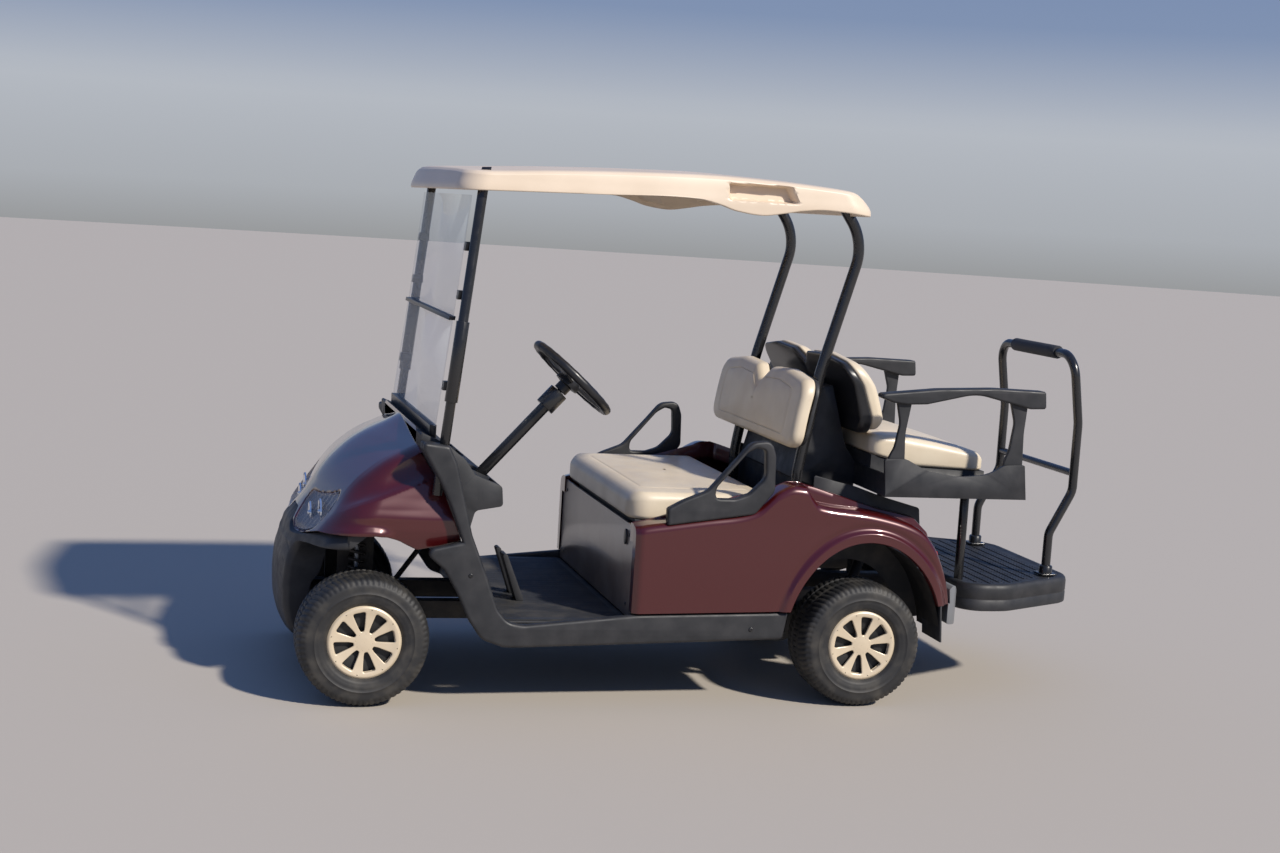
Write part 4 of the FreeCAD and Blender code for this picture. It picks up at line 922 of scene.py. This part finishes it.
# liners that close the arches from inside
liner = Mesh()
a = np.linspace(0.12, np.pi - 0.12, 60)
arc = np.stack([archY + (archReach - 4) * np.cos(a), archZ + (archRise - 4) * np.sin(a)], 1)
liner.grid(np.stack([lift(arc, "yz", x) for x in (572, 500, 430, 380)]), flip=True)
wall = []
for share in (1, 0.72):
    wall.append(np.stack([np.full(60, 379.0), archY + (archReach - 4) * share * np.cos(a),
                          archZ + 20 + (archRise - 24) * share * np.sin(a)], 1))
liner.grid(np.stack(wall))
liner.copy(flipX)
liner.build("arch_liners", chassis, "chassis", "black_plastic")
print("rear body made")

# Roof: crowned top over a deep rim that leans in as it rises, hollow below, with a hand-hold on each side

roof = {
    "half": 575.0, "nose": 159.0, "front": 232.0, "rear": 1615.0,
    # y, z of the crown along the middle, and |x|, its drop towards the sides
    "crown": [(159, 1716), (190, 1723), (213, 1728), (380, 1739), (537, 1749), (848, 1762), (1060, 1766),
              (1276, 1760), (1420, 1752), (1520, 1743), (1555, 1732), (1585, 1708), (1615, 1680)],
    "camber": [(0, 0), (200, 2), (400, 8), (540, 15), (575, 22)],
    # z, how far the rim has leaned in at the sides, the front and the rear
    "rimLean": [(1600, 0, 0, 0), (1658, 0, 0, 0), (1700, 5, 14, 22), (1735, 12, 32, 46), (1770, 29, 54, 70)],
    # y, z of the rim's lower edge
    "rimLow": [(150, 1653), (250, 1655), (480, 1661), (700, 1667), (920, 1674), (1000, 1672), (1068, 1658),
               (1130, 1640), (1214, 1631), (1292, 1642), (1352, 1653), (1430, 1660), (1620, 1647)],
    # inset and drop of the turn from crown to rim, inset and rise of the one under the rim
    "topTurn": [(12, 0.3), (7, 1.2), (3.5, 3), (1.2, 5.5)],
    "footTurn": [(0.8, 1.2), (3.2, 0), (17, 0), (20.5, 1), (22, 4), (22, 16)],
    "skin": 9, "grooveX": 330, "grooveY": (330, 1380), "grooveDepth": 2.2, "grooveWidth": 9,
    # the hand-hold, whose rear end slants by holdSlant on its way up
    "holdY": (1100, 1338), "holdFloor": 1674.0, "holdTop": 1730.0, "holdDepth": 40.0, "holdSlant": 26}
roofHalf, roofNose, roofFront, roofRear = (roof[key] for key in ("half", "nose", "front", "rear"))
roofLoop = outline([(-roofHalf, roofFront, 90), (0, roofNose, 1500), (roofHalf, roofFront, 90),
                    (roofHalf, roofRear, 90), (-roofHalf, roofRear, 90)], 6.0, 9.0)
middle = np.array([0.0, (roofFront + roofRear) / 2])
atSide = np.abs(roofLoop[:, 0]) > roofHalf - 8


def crown(loop):
    return smoothTable(roof["crown"], loop[:, 1])[:, 0] - valueAt(roof["camber"], np.abs(loop[:, 0]))


def roofWall(z):
    # the rim's outline where it has risen to z
    side, ahead, behind = np.moveaxis(smoothTable(roof["rimLean"], z), -1, 0)
    share = (roofLoop[:, 1] - roofNose) / (roofRear - roofNose)
    return np.stack([roofLoop[:, 0] * (1 - side / roofHalf),
                     roofLoop[:, 1] + ahead * (1 - share) - behind * share], 1)


def holdScoop(loop, z):
    # depth of the hand-hold: soft steps along y and up z
    low, high = roof["holdFloor"], roof["holdTop"]
    start, end = roof["holdY"]
    end = end - roof["holdSlant"] * np.clip((z - low) / (high - low), 0, 1)
    lengthwise = np.clip((loop[:, 1] - start) / 12, 0, 1) * np.clip((end - loop[:, 1]) / 12, 0, 1)
    upwards = np.clip((z - low) / 5, 0, 1) * np.clip((high - z) / 5, 0, 1)
    return atSide * lengthwise * upwards * roof["holdDepth"]


rimFoot = smoothTable(roof["rimLow"], roofLoop[:, 1])[:, 0]
rimHead = np.full(len(roofLoop), 1740.0)
for settle in range(8):
    rimHead = crown(roofWall(rimHead))
edge = roofWall(rimHead)
rings = []
for share in np.concatenate([np.linspace(0.02, 0.90, 24), [0.94, 0.965]]):
    loop = middle + (edge - middle) * share
    groove = np.exp(-((np.abs(loop[:, 0]) - roof["grooveX"]) / roof["grooveWidth"]) ** 2)
    groove = roof["grooveDepth"] * groove * box01(loop[:, 1], *roof["grooveY"], 60)
    rings.append(np.column_stack([loop, crown(loop) - groove]))
for inset, drop in roof["topTurn"]:
    loop = offset(edge, inset)
    rings.append(np.column_stack([loop, crown(loop) - drop]))
for share in np.linspace(1, 0, 30):
    z = rimFoot + 3.5 + (rimHead - roof["skin"] - rimFoot - 3.5) * share
    loop = roofWall(z)
    loop[:, 0] -= np.sign(loop[:, 0]) * holdScoop(loop, z)
    rings.append(np.column_stack([loop, z]))
for inset, rise in roof["footTurn"]:
    rings.append(np.column_stack([offset(roofLoop, inset), rimFoot + rise]))
for share in (0.35, 0.7, 1.0):
    loop = offset(roofWall(rimHead), 24)
    z = rimFoot + 16 + (crown(loop) - roof["skin"] - rimFoot - 16) * share
    inHold = atSide * box01(loop[:, 1], roof["holdY"][0] - 10, roof["holdY"][1] + 12, 12)
    loop[:, 0] -= np.sign(loop[:, 0]) * inHold * (roof["holdDepth"] - 14)
    rings.append(np.column_stack([loop, z]))
for share in (0.9, 0.5, 0.02):
    loop = middle + (edge - middle) * share
    rings.append(np.column_stack([loop, crown(loop) - 8]))
roofMesh = Mesh()
roofMesh.grid(np.stack(rings), closeColumns=True)
roofMesh.cap(rings[0], True)
roofMesh.build("roof_shell", roofPlastic, "chassis", "roof_plastic", ["roof"], sharp=55)
print("roof made")

# Seats: crowned pads with rolled edges and a stitched line round the seating panel

seamDepth, seamWidth = 3.2, 0.012


def pillow(loop, plane, pad, change):
    # pad with a rolled edge. Its face rises towards the middle by the crown times 1 - share ** 3, where share
    # is the part of the way out, and the seam is a bell-shaped groove at one share
    low, high, roll = pad["low"], pad["high"], pad["roll"]
    turns = [(low + roll * 0.5 * (1 - math.sin(a)), roll * 0.5 * (1 - math.cos(a)))
             for a in np.linspace(np.pi / 2, 0, 7)]
    turns += [(high - roll * (1 - math.sin(a)), roll * (1 - math.cos(a)))
              for a in np.linspace(0, np.pi / 2, 9)]
    rows = [lift(offset(loop, inset), plane, depth) for depth, inset in turns]
    face, bottom = offset(loop, roll), offset(loop, roll * 0.5)
    centre = (face.max(0) + face.min(0)) / 2
    for share in np.linspace(0.98, 0.02, pad["rings"]):
        rise = pad["crown"] * (1 - share ** 3)
        if "seam" in pad:
            rise = rise - seamDepth * math.exp(-((share - pad["seam"]) / seamWidth) ** 2)
        rows.append(lift(centre + (face - centre) * share, plane, high + rise))
    rows.insert(0, lift(centre + (bottom - centre) * 0.02, plane, low))
    mesh = Mesh()
    mesh.grid(change(np.stack(rows)), closeColumns=True)
    return mesh


def backLoop(half, low, notch, high):
    # outline of a backrest: two lobes with a notch between them
    lobes = [(half, high - 24, 62), (half * 0.55, high, 160), (74, high - 8, 46)]
    mirrored = [(-x, z, turn) for x, z, turn in lobes[::-1]]
    return outline([(-half, low, 52), (half, low, 52)] + lobes + [(0, notch, 16)] + mirrored, 5.0, 9.0)


def madePad(name, finish, body, slot, replaced, mesh):
    mesh.build(name, finish, body, slot, [replaced], sharp=60)


seat = {
    "outline": [(-484, 858, 70), (484, 858, 70), (484, 1350, 34), (-484, 1350, 34)],
    "low": 612.5, "high": 704, "roll": 30, "crown": 11, "seam": 0.86, "rings": 60}


def sag(points):
    # the bench rolls down at its front and gives in two hollows, each the product of two bells
    shaped = points.copy()
    x, y, z = np.moveaxis(points, -1, 0)
    upper = np.clip((z - 640) / 60, 0, 1)
    shaped[..., 2] -= upper * 20 * np.clip((905 - y) / 47, 0, 1) ** 2
    shaped[..., 2] -= upper * 5 * np.exp(-((np.abs(x) - 240) / 150) ** 2) * np.exp(-((y - 1130) / 130) ** 2)
    return shaped


backrest = {
    "half": 460, "foot": 858, "notch": 1052, "top": 1112,
    "y": 1452, "lean": (1499 - 1452) / (1112 - 858), "belly": 6,
    "low": 0, "high": 48, "roll": 24, "crown": 9, "seam": 0.84, "rings": 50}


def leanBack(points):
    # depth forward from a leaning line with a belly of half a sine wave
    shaped = points.copy()
    up = points[..., 2] - backrest["foot"]
    belly = backrest["belly"] * np.sin(np.clip(up / 250, 0, 1) * np.pi)
    shaped[..., 1] = backrest["y"] + up * backrest["lean"] - points[..., 1] - belly
    return shaped


rearSeat = {
    "outline": [(-440, 1708, 40), (440, 1708, 40), (440, 2140, 60), (-440, 2140, 60)],
    "low": 820, "high": 910, "roll": 30, "crown": 14, "seam": 0.85, "rings": 50,
    # y, rise of the top over 912, and y, z of the underside
    "slope": [(1706, 8), (1829, 6), (1950, -14), (2048, -34), (2112, -46), (2140, -62)],
    "base": [(1713, 846.5), (1866, 808), (2138, 798)]}


def rearShape(points):
    shaped = points.copy()
    y, z = points[..., 1], points[..., 2]
    slope, base = valueAt(rearSeat["slope"], y), valueAt(rearSeat["base"], y)
    share = np.clip((z - 820) / 96, 0, 1.2)
    shaped[..., 2] = base + (912 + slope - base) * share + np.clip(z - 916, 0, None) * 0.4
    return shaped


rearBack = {
    "half": 440, "foot": 926, "notch": 1124, "top": 1178,
    "low": 0, "high": 42, "roll": 22, "crown": 8, "seam": 0.84, "rings": 50, "bulge": 10,
    # z, y of the line it stands before
    "line": [(926, 1700), (968, 1700), (1078, 1661), (1168, 1601), (1180, 1596)]}


def rearBackShape(points):
    shaped = points.copy()
    depth, z = points[..., 1], points[..., 2]
    bulge = rearBack["bulge"] * np.sin(np.clip((z - 926) / 250, 0, 1) * np.pi)
    shaped[..., 1] = valueAt(rearBack["line"], z) + 0.6 + depth + bulge * np.clip(depth / 48, 0, 1)
    return shaped


rearShell = {
    "half": 446, "foot": 914, "notch": 1118, "top": 1173,
    "low": 0, "high": 34, "roll": 14, "crown": 3, "rings": 30,
    # z, y of its rear face, and z, share of its depth that is kept
    "line": [(910, 1699), (968, 1699), (1078, 1660), (1168, 1600), (1180, 1595)],
    "kept": [(910, 1.2), (960, 1.3), (1180, 0.8)]}


def rearShellShape(points):
    shaped = points.copy()
    z = points[..., 2]
    shaped[..., 1] = valueAt(rearShell["line"], z) - points[..., 1] * valueAt(rearShell["kept"], z)
    return shaped


def backPad(pad, change):
    return pillow(backLoop(pad["half"], pad["foot"], pad["notch"], pad["top"]), "xz", pad, change)


seatPad = pillow(outline(seat["outline"], 6.0, 11.0), "xy", seat, sag)
rearPad = pillow(outline(rearSeat["outline"], 6.0, 11.0), "xy", rearSeat, rearShape)
madePad("seat_pad", vinyl, "front_seat", "seat_vinyl", "seat_cushion", seatPad)
madePad("back_pad", vinyl, "chassis", "seat_vinyl", "seat_back", backPad(backrest, leanBack))
madePad("rear_pad", vinyl, "rear_seat", "seat_vinyl", "rear_seat_cushion", rearPad)
madePad("rear_back_pad", vinyl, "chassis", "seat_vinyl", "rear_seat_back", backPad(rearBack, rearBackShape))
shellMesh = backPad(rearShell, rearShellShape)
shellMesh.build("rear_back_shell", smoothBlack, "chassis", "black_plastic", ["rear_seat_back_shell"],
                sharp=60)
print("seats made")

# Front armrests: one moulding, a hoop that grows out of a wedge-shaped base

# y, z, corner radius
arm = {
    "outer": [(961, 612, 4), (959, 668, 8), (1012, 697, 60), (1090, 728, 60), (1180, 831, 120),
              (1232, 893, 50), (1300, 900, 30), (1318, 850, 60), (1322, 732, 30), (1258, 654, 30),
              (1110, 633, 40)],
    "hole": [(1117, 704, 14), (1120, 740, 30), (1218, 856, 60), (1250, 875, 16), (1281, 868, 12),
             (1287, 775, 40), (1232, 720, 50), (1185, 704, 40)],
    "x": (549, 585), "roll": 9}
armMesh = Mesh()
armHole = outline(arm["hole"], 5.0, 7.0)
plate(armMesh, outline(arm["outer"], 5.0, 7.0), "yz", *arm["x"], arm["roll"], 6, hole=armHole)
armMesh.copy(flipX)
armMesh.build("arm_loops", plastic, "chassis", "black_plastic", ["armrests"], sharp=50)

# Rear armrests: arched pads on two curved posts that widen to their ends

# y, z, corner radius
rearArm = {
    "pad": [(1672, 1056, 4), (1715, 1041, 30), (1761, 1036, 0), (1834, 1039, 40), (2012, 1080, 200),
            (2214, 1035, 30), (2272, 1037, 8), (2266, 1097, 8), (2078, 1101, 300), (1876, 1092, 300),
            (1673, 1070, 8)],
    "padX": (538, 592), "padRoll": 8,
    "posts": [[(1714, 836, 0), (1716, 855, 20), (1734, 890, 60), (1748, 972, 60), (1731, 1046, 0),
               (1785, 1046, 0), (1769, 938, 200), (1774, 836, 0)],
              [(2134, 836, 0), (2137, 850, 20), (2153, 892, 60), (2165, 985, 60), (2143, 1062, 0),
               (2209, 1052, 0), (2202, 951, 200), (2206, 836, 0)]],
    "postX": (560, 576.7), "postRoll": 4}
rearArmMesh = Mesh()
plate(rearArmMesh, outline(rearArm["pad"], 5.0, 8.0), "yz", *rearArm["padX"], rearArm["padRoll"], 6)
for post in rearArm["posts"]:
    plate(rearArmMesh, outline(post, 5.0, 8.0), "yz", *rearArm["postX"], rearArm["postRoll"], 4)
rearArmMesh.copy(flipX)
rearArmMesh.build("rear_arms", plastic, "chassis", "black_plastic", ["rear_armrests"], sharp=50)
print("armrests made")

# Steering wheel: moulded grip, three spokes and a hub pad, square to the column

helm = {
    "columnTop": (290.0, 640.0, 1009.0), "axis": (0.0, 299.0, 334.0), "rise": 62,
    "radius": 157, "grip": 14.5, "gripSides": 18, "gripSteps": 120, "ripples": 22, "rippleDepth": 0.05,
    # directions of the spokes, and their half width and height over the wheel's plane against r
    "spokes": (90, 210, 330), "spokeWidth": [(26, 26), (60, 19), (120, 15), (150, 22)],
    "spokeHeight": [(26, -14), (90, -11), (150, -3)],
    # r, height of the hub's outline
    "hub": [(0.5, 6), (20, 5.5), (32, 3), (40, -4), (44, -16), (44, -30), (24, -34), (24, -58)]}
column = unit(np.array(helm["axis"]))
acrossWheel = np.array([1.0, 0, 0])
upWheel = np.cross(column, acrossWheel)


def onWheel(points):
    # x, y in the wheel's plane and z along the column
    centre = np.array(helm["columnTop"]) + column * helm["rise"]
    return centre + points[..., :1] * acrossWheel + points[..., 1:2] * upWheel + points[..., 2:3] * column


helmMesh, gripRing = Mesh(), Mesh()
a = np.linspace(0, 2 * np.pi, helm["gripSteps"], endpoint=False)
ripple = 1 + helm["rippleDepth"] * np.clip(np.sin(a * helm["ripples"]), 0, 1)
gripPath = np.stack([np.cos(a), np.sin(a), 0 * a], 1) * helm["radius"]
sweep(gripRing, gripPath, circle(helm["grip"], helm["gripSides"]), side=(0, 0, 1), closed=True, scale=ripple)
gripPoints = gripRing.verts[0].reshape(helm["gripSteps"], helm["gripSides"], 3)
helmMesh.grid(onWheel(gripPoints), closeRows=True, closeColumns=True)
r = np.linspace(26, 150, 16)[:, None]
section = roundedRect(2, 10, 0.9, 1.0)
width = section[None, :, 0] * valueAt(helm["spokeWidth"], r)
height = valueAt(helm["spokeHeight"], r) + section[None, :, 1]
for degrees in helm["spokes"]:
    outX, outY = math.cos(math.radians(degrees)), math.sin(math.radians(degrees))
    spoke = onWheel(np.stack([outX * r - outY * width, outY * r + outX * width, height], 2))
    helmMesh.grid(spoke, closeColumns=True)
    helmMesh.cap(spoke[0], True)
    helmMesh.cap(spoke[-1])
hubR, hubZ = np.array(helm["hub"], float).T
turn = np.linspace(0, 2 * np.pi, 40, endpoint=False)
hub = np.stack([np.outer(np.cos(turn), hubR), np.outer(np.sin(turn), hubR), np.outer(np.ones(40), hubZ)], 2)
helmMesh.grid(onWheel(hub), closeRows=True)
helmMesh.build("helm", smoothBlack, "steering_wheel", "black_plastic", ["steering_wheel"], sharp=50)

# Grab bar: one bent tube with a cross bar, clamps and a foam grip

grabBar = {
    "half": 300, "tube": 16, "crossBar": 13, "crossAt": (2549, 780), "foam": 24,
    # y, z, bend radius of one side from its foot to the top
    "side": [(2470, 410, 0), (2470, 560, 60), (2549, 715, 80), (2549, 960, 200), (2512, 1205, 80)],
    # z, r of the socket round each foot, and x, share of the foam's thickness
    "socket": [(410, 24), (440, 24), (444, 20), (444, 16)],
    "foamEnds": [(-172, 0.86), (-168, 1), (-120, 1), (0, 1), (120, 1), (168, 1), (172, 0.86)]}
half, side = grabBar["half"], grabBar["side"]
barMesh, foamMesh = Mesh(), Mesh()
barPath = outline([(half, *bend) for bend in side] + [(-half, *bend) for bend in side[::-1]], 6.0, 8.0, False)
sweep(barMesh, barPath, circle(grabBar["tube"], 24))
crossPath = np.array([(x, *grabBar["crossAt"]) for x in (-half, half)], float)
sweep(barMesh, crossPath, circle(grabBar["crossBar"], 20))
for x in (-half, half):
    foot = [(x - 34, 2438, 8), (x + 34, 2438, 8), (x + 34, 2502, 8), (x - 34, 2502, 8)]
    plate(barMesh, outline(foot, 6.0), "xy", 410, 417, 2)
    ring(barMesh, np.array(grabBar["socket"], float), (x, 2470, 0), axis=2, count=32)
barMesh.build("grab_tube", steel, "chassis", "black_steel", ["grab_bar"], sharp=50)
foamPath = np.array([(x, 2512, 1205) for x, share in grabBar["foamEnds"]], float)
sweep(foamMesh, foamPath, circle(grabBar["foam"], 28), scale=[share for x, share in grabBar["foamEnds"]])
foamMesh.build("grab_foam", foam, "chassis", "grip_foam", ["grab_grip"], sharp=50)

# Footplate: moulded tray with a rolled rim and raised lozenges

stepPlate = {
    "outline": [(-500, 2060, 90), (500, 2060, 90), (500, 2230, 150), (330, 2562, 120), (-330, 2562, 120),
                (-500, 2230, 150)],
    # z, inset from the underside up over the rim and down to the floor of the tray
    "section": [(316, 12), (315, 6), (318, 1), (324, 0), (352, 0), (354, 1.6), (358, 1.6), (360, 0), (392, 0),
                (402, 2.5), (408, 8), (410, 15), (409.5, 24), (406.5, 30), (406, 36)],
    "pitch": 21.5, "firstLine": 2092, "floor": 406, "lozengeHeight": 2.4, "border": 46}
stepLoop = outline(stepPlate["outline"], 8.0, 12.0)
stepMesh = Mesh()
rows = [lift(offset(stepLoop, inset), "xy", depth) for depth, inset in stepPlate["section"]]
stepMesh.grid(np.stack(rows), closeColumns=True)
stepMesh.cap(rows[-1])
stepMesh.cap(rows[0], True)
# lozenges in staggered lines, none by the grab bar's feet and the tray's front corners
pitch, floorZ = stepPlate["pitch"], stepPlate["floor"]
columns, lines = np.meshgrid(np.arange(-21, 22), np.arange(0, 22))
atX = columns * pitch + np.where(lines % 2, pitch / 2, 0)
atY = stepPlate["firstLine"] + lines * pitch
kept = insideLoop(stepLoop, atX, atY) > stepPlate["border"]
kept &= ~((np.abs(np.abs(atX) - 300) < 46) & (atY > 2425))
kept &= ~((np.abs(np.abs(atX) - 380) < 30) & (atY < 2125))
for x, y in zip(atX[kept], atY[kept]):
    lean = 1 if round((x + 500) / (pitch / 2)) % 2 else -1
    corners = [(-9, -4 * lean), (-3 * lean, -3), (9, 4 * lean), (3 * lean, 3)]
    low = np.array([(x + across, y + back, floorZ) for across, back in corners], float)
    top = (low - (x, y, 0)) * (0.6, 0.6, 1) + (x, y, stepPlate["lozengeHeight"])
    start = stepMesh.add(np.concatenate([low, top]))
    for i, j in ((0, 1), (1, 2), (2, 3), (3, 0)):
        stepMesh.faces.append([start + i, start + j, start + 4 + j, start + 4 + i])
    stepMesh.faces.append([start + 4 + i for i in range(4)])
stepMesh.build("step_plate", plastic, "chassis", "black_plastic", ["footplate"], sharp=40)
print("rear step made")

# Floor mat: raised ribs that run along the cart, and a plain border

floorMat = {
    "half": 534, "front": 412, "rear": 857, "top": 289.6, "under": 285.2,
    "ribPitch": 14.0, "ribHeight": 1.1}
half, front, rear = floorMat["half"], floorMat["front"], floorMat["rear"]
x, y = np.meshgrid(np.linspace(-half, half, 430), np.linspace(front, rear, 60), indexing="ij")
ribs = np.clip(np.sin(x / floorMat["ribPitch"] * 2 * np.pi) * 2.2, -1, 1) * floorMat["ribHeight"]
ribs = ribs * box01(np.abs(x), -1, 500, 8) * box01(y, 430, 836, 6)
matMesh = Mesh()
matMesh.grid(np.stack([x, y, floorMat["top"] + ribs], 2))
border = np.array([(-half, front), (half, front), (half, rear), (-half, rear)], float)
matMesh.grid(np.stack([lift(border, "xy", floorMat[key]) for key in ("top", "under")]), closeColumns=True)
matMesh.build("mat_ribs", mat, "chassis", "floor_rubber", ["floor_mat"], sharp=50)

# Front shocks: damper body, rod and a real coil

shock = {
    "foot": (238, 0, 200.0), "head": (222, 0, 546.0),
    # start, end, radius of each round part along the shock
    "parts": [(0, 190, 15), (190, 346, 8), (118, 124, 31), (318, 326, 31), (0, 26, 19)],
    "turns": 7, "coilStart": 126, "coilLength": 190, "coilRadius": 25, "wire": 5.2}
shockMesh, coilMesh = Mesh(), Mesh()
foot = np.array(shock["foot"])
upShock = unit(np.array(shock["head"]) - foot)
for low, high, radius in shock["parts"]:
    sweep(shockMesh, np.stack([foot + upShock * low, foot + upShock * high]), circle(radius, 24))
turns = np.linspace(0, shock["turns"], shock["turns"] * 20)[:, None]
a = turns * 2 * np.pi
around = np.cos(a) * np.cross(upShock, (0, 1, 0)) + np.sin(a) * np.array([0, 1, 0])
rise = shock["coilStart"] + turns / shock["turns"] * shock["coilLength"]
sweep(coilMesh, foot + upShock * rise + shock["coilRadius"] * around, circle(shock["wire"], 8))
for form in (shockMesh, coilMesh):
    form.copy(flipX)
shockMesh.build("damper_bodies", springSteel, "chassis", "black_steel", ["front_shocks"], sharp=50)
coilMesh.build("coils", chassis, "chassis", "black_steel", sharp=60)
print("mat and shocks made")

# Small hardware: bolts on the trim and the front panel, and its oval switch plate

hardware = {
    # place, direction, radius, height of each bolt's head
    "bolts": [((580, 322, 440), (1, 0, 0), 7.5, 3.0), ((580, 1270, 268), (1, 0, 0), 7.5, 3.0),
              ((470, 863.8, 560), (0, -1, 0), 6, 2.2), ((470, 863.8, 330), (0, -1, 0), 6, 2.2)],
    # shares of the radius and the height from the rim over the head into its socket
    "head": [(1, 0), (1, 0.45), (0.85, 0.85), (0.55, 1.0), (0.3, 1.0), (0.22, 0.55), (0.02, 0.55)],
    "switch": (432, 548), "switchSize": (17, 26), "switchY": (858.5, 864.2)}
bolts, switchMesh = Mesh(), Mesh()
for spot, normal, radius, height in hardware["bolts"]:
    first = unit(np.cross(normal, (0.3, 0.2, 1.0)))
    second = np.cross(normal, first)
    a = np.linspace(0, 2 * np.pi, 20, endpoint=False)[:, None]
    rim = (np.cos(a) * first + np.sin(a) * second) * radius
    rows = [np.array(spot) + rim * out + np.array(normal) * height * up for out, up in hardware["head"]]
    bolts.grid(np.stack(rows), closeColumns=True)
bolts.copy(flipX)
bolts.build("trim_bolts", smoothBlack, "chassis", "black_steel", sharp=50)
a = np.linspace(0, 2 * np.pi, 40, endpoint=False)[:, None]
oval = hardware["switch"] + np.concatenate([np.cos(a), np.sin(a)], 1) * hardware["switchSize"]
plate(switchMesh, oval, "xz", *hardware["switchY"], 1.5)
switchMesh.build("switch_plate", smoothBlack, "chassis", "black_plastic", sharp=40)
print("hardware made")

# Light and ground

light = {
    # height from straight down to straight up as 0 to 1, colour of the surroundings
    "sky": [(0.0, (0.11, 0.10, 0.09)), (0.47, (0.20, 0.19, 0.17)), (0.5, (0.40, 0.42, 0.45)),
            (0.525, (0.46, 0.49, 0.54)), (0.55, (0.22, 0.29, 0.44)), (0.62, (0.11, 0.19, 0.40)),
            (1.0, (0.10, 0.18, 0.42))],
    "sun": 4.4, "sunWidth": 3, "sunColour": (1.0, 0.94, 0.85), "toSun": (0.62, 0.46, 0.62),
    "ground": (0.46, 0.415, 0.36), "groundRadius": 60}
world = bpy.data.worlds.new("sky")
bpy.context.scene.world = world
world.use_nodes = True
tree = world.node_tree
background = tree.nodes["Background"]
way = Socket(tree, addNode(tree, "ShaderNodeTexCoord", {}, {}).outputs["Generated"])
height = Socket(tree, addNode(tree, "ShaderNodeSeparateXYZ", {}, {"Vector": way}).outputs["Z"])
ramp = addNode(tree, "ShaderNodeValToRGB", {}, {"Fac": height * 0.5 + 0.5})
while len(ramp.color_ramp.elements) < len(light["sky"]):
    ramp.color_ramp.elements.new(0.5)
for element, (place, colour) in zip(ramp.color_ramp.elements, light["sky"]):
    element.position = place
    element.color = colour + (1.0,)
tree.links.new(ramp.outputs[0], background.inputs["Color"])
background.inputs["Strength"].default_value = 1.0

sun = bpy.data.lights.new("sun", "SUN")
sun.energy = light["sun"]
sun.angle = math.radians(light["sunWidth"])
sun.color = light["sunColour"]
sunObject = bpy.data.objects.new("sun", sun)
bpy.context.scene.collection.objects.link(sunObject)
sunObject.rotation_mode = "QUATERNION"
sunObject.rotation_quaternion = Vector(unit(np.array(light["toSun"]))).to_track_quat("Z", "Y")

floorMesh = bpy.data.meshes.new("floor")
r = np.concatenate([[0.0], np.geomspace(0.6, light["groundRadius"], 26)])
a = np.linspace(0, 2 * np.pi, 64, endpoint=False)
disc = Mesh()
flat = np.stack([np.outer(r, np.cos(a)), np.outer(r, np.sin(a)), np.zeros((len(r), 64))], 2)
disc.grid(flat, closeColumns=True)
floorMesh.from_pydata(np.concatenate(disc.verts).tolist(), [], disc.faces)
floorMesh.materials.append(Finish("floor", light["ground"], 0.9).material)
floor = bpy.data.objects.new("floor", floorMesh)
bpy.context.scene.collection.objects.link(floor)

# Camera of the photo: its place in cart millimetres, its turn in degrees, its focal length in photo pixels

view = {
    "place": (6461.32, -749.83, 1636.11), "yaw": 15.19, "pitch": 6.57, "roll": 3.57,
    "focal": 1906.22, "photoWidth": 1280, "sensor": 36.0}
yaw, pitch, roll = (math.radians(view[key]) for key in ("yaw", "pitch", "roll"))
forward = np.array([-math.cos(yaw) * math.cos(pitch), math.sin(yaw) * math.cos(pitch), -math.sin(pitch)])
level = np.array([math.sin(yaw), math.cos(yaw), 0.0])
upright = np.cross(level, forward)
right = math.cos(roll) * level + math.sin(roll) * upright
above = -math.sin(roll) * level + math.cos(roll) * upright
camera = bpy.data.cameras.new("camera")
camera.sensor_width = view["sensor"]
camera.lens = view["focal"] / view["photoWidth"] * view["sensor"]
camera.clip_end = 200
cameraObject = bpy.data.objects.new("camera", camera)
bpy.context.scene.collection.objects.link(cameraObject)
place = asRow(np.array(view["place"]))
axes = [[right[k], above[k], -forward[k], place[k]] for k in range(3)]
cameraObject.matrix_world = Matrix(axes + [[0, 0, 0, 1]])
bpy.context.scene.camera = cameraObject
bpy.context.scene.view_settings.view_transform = "Standard"
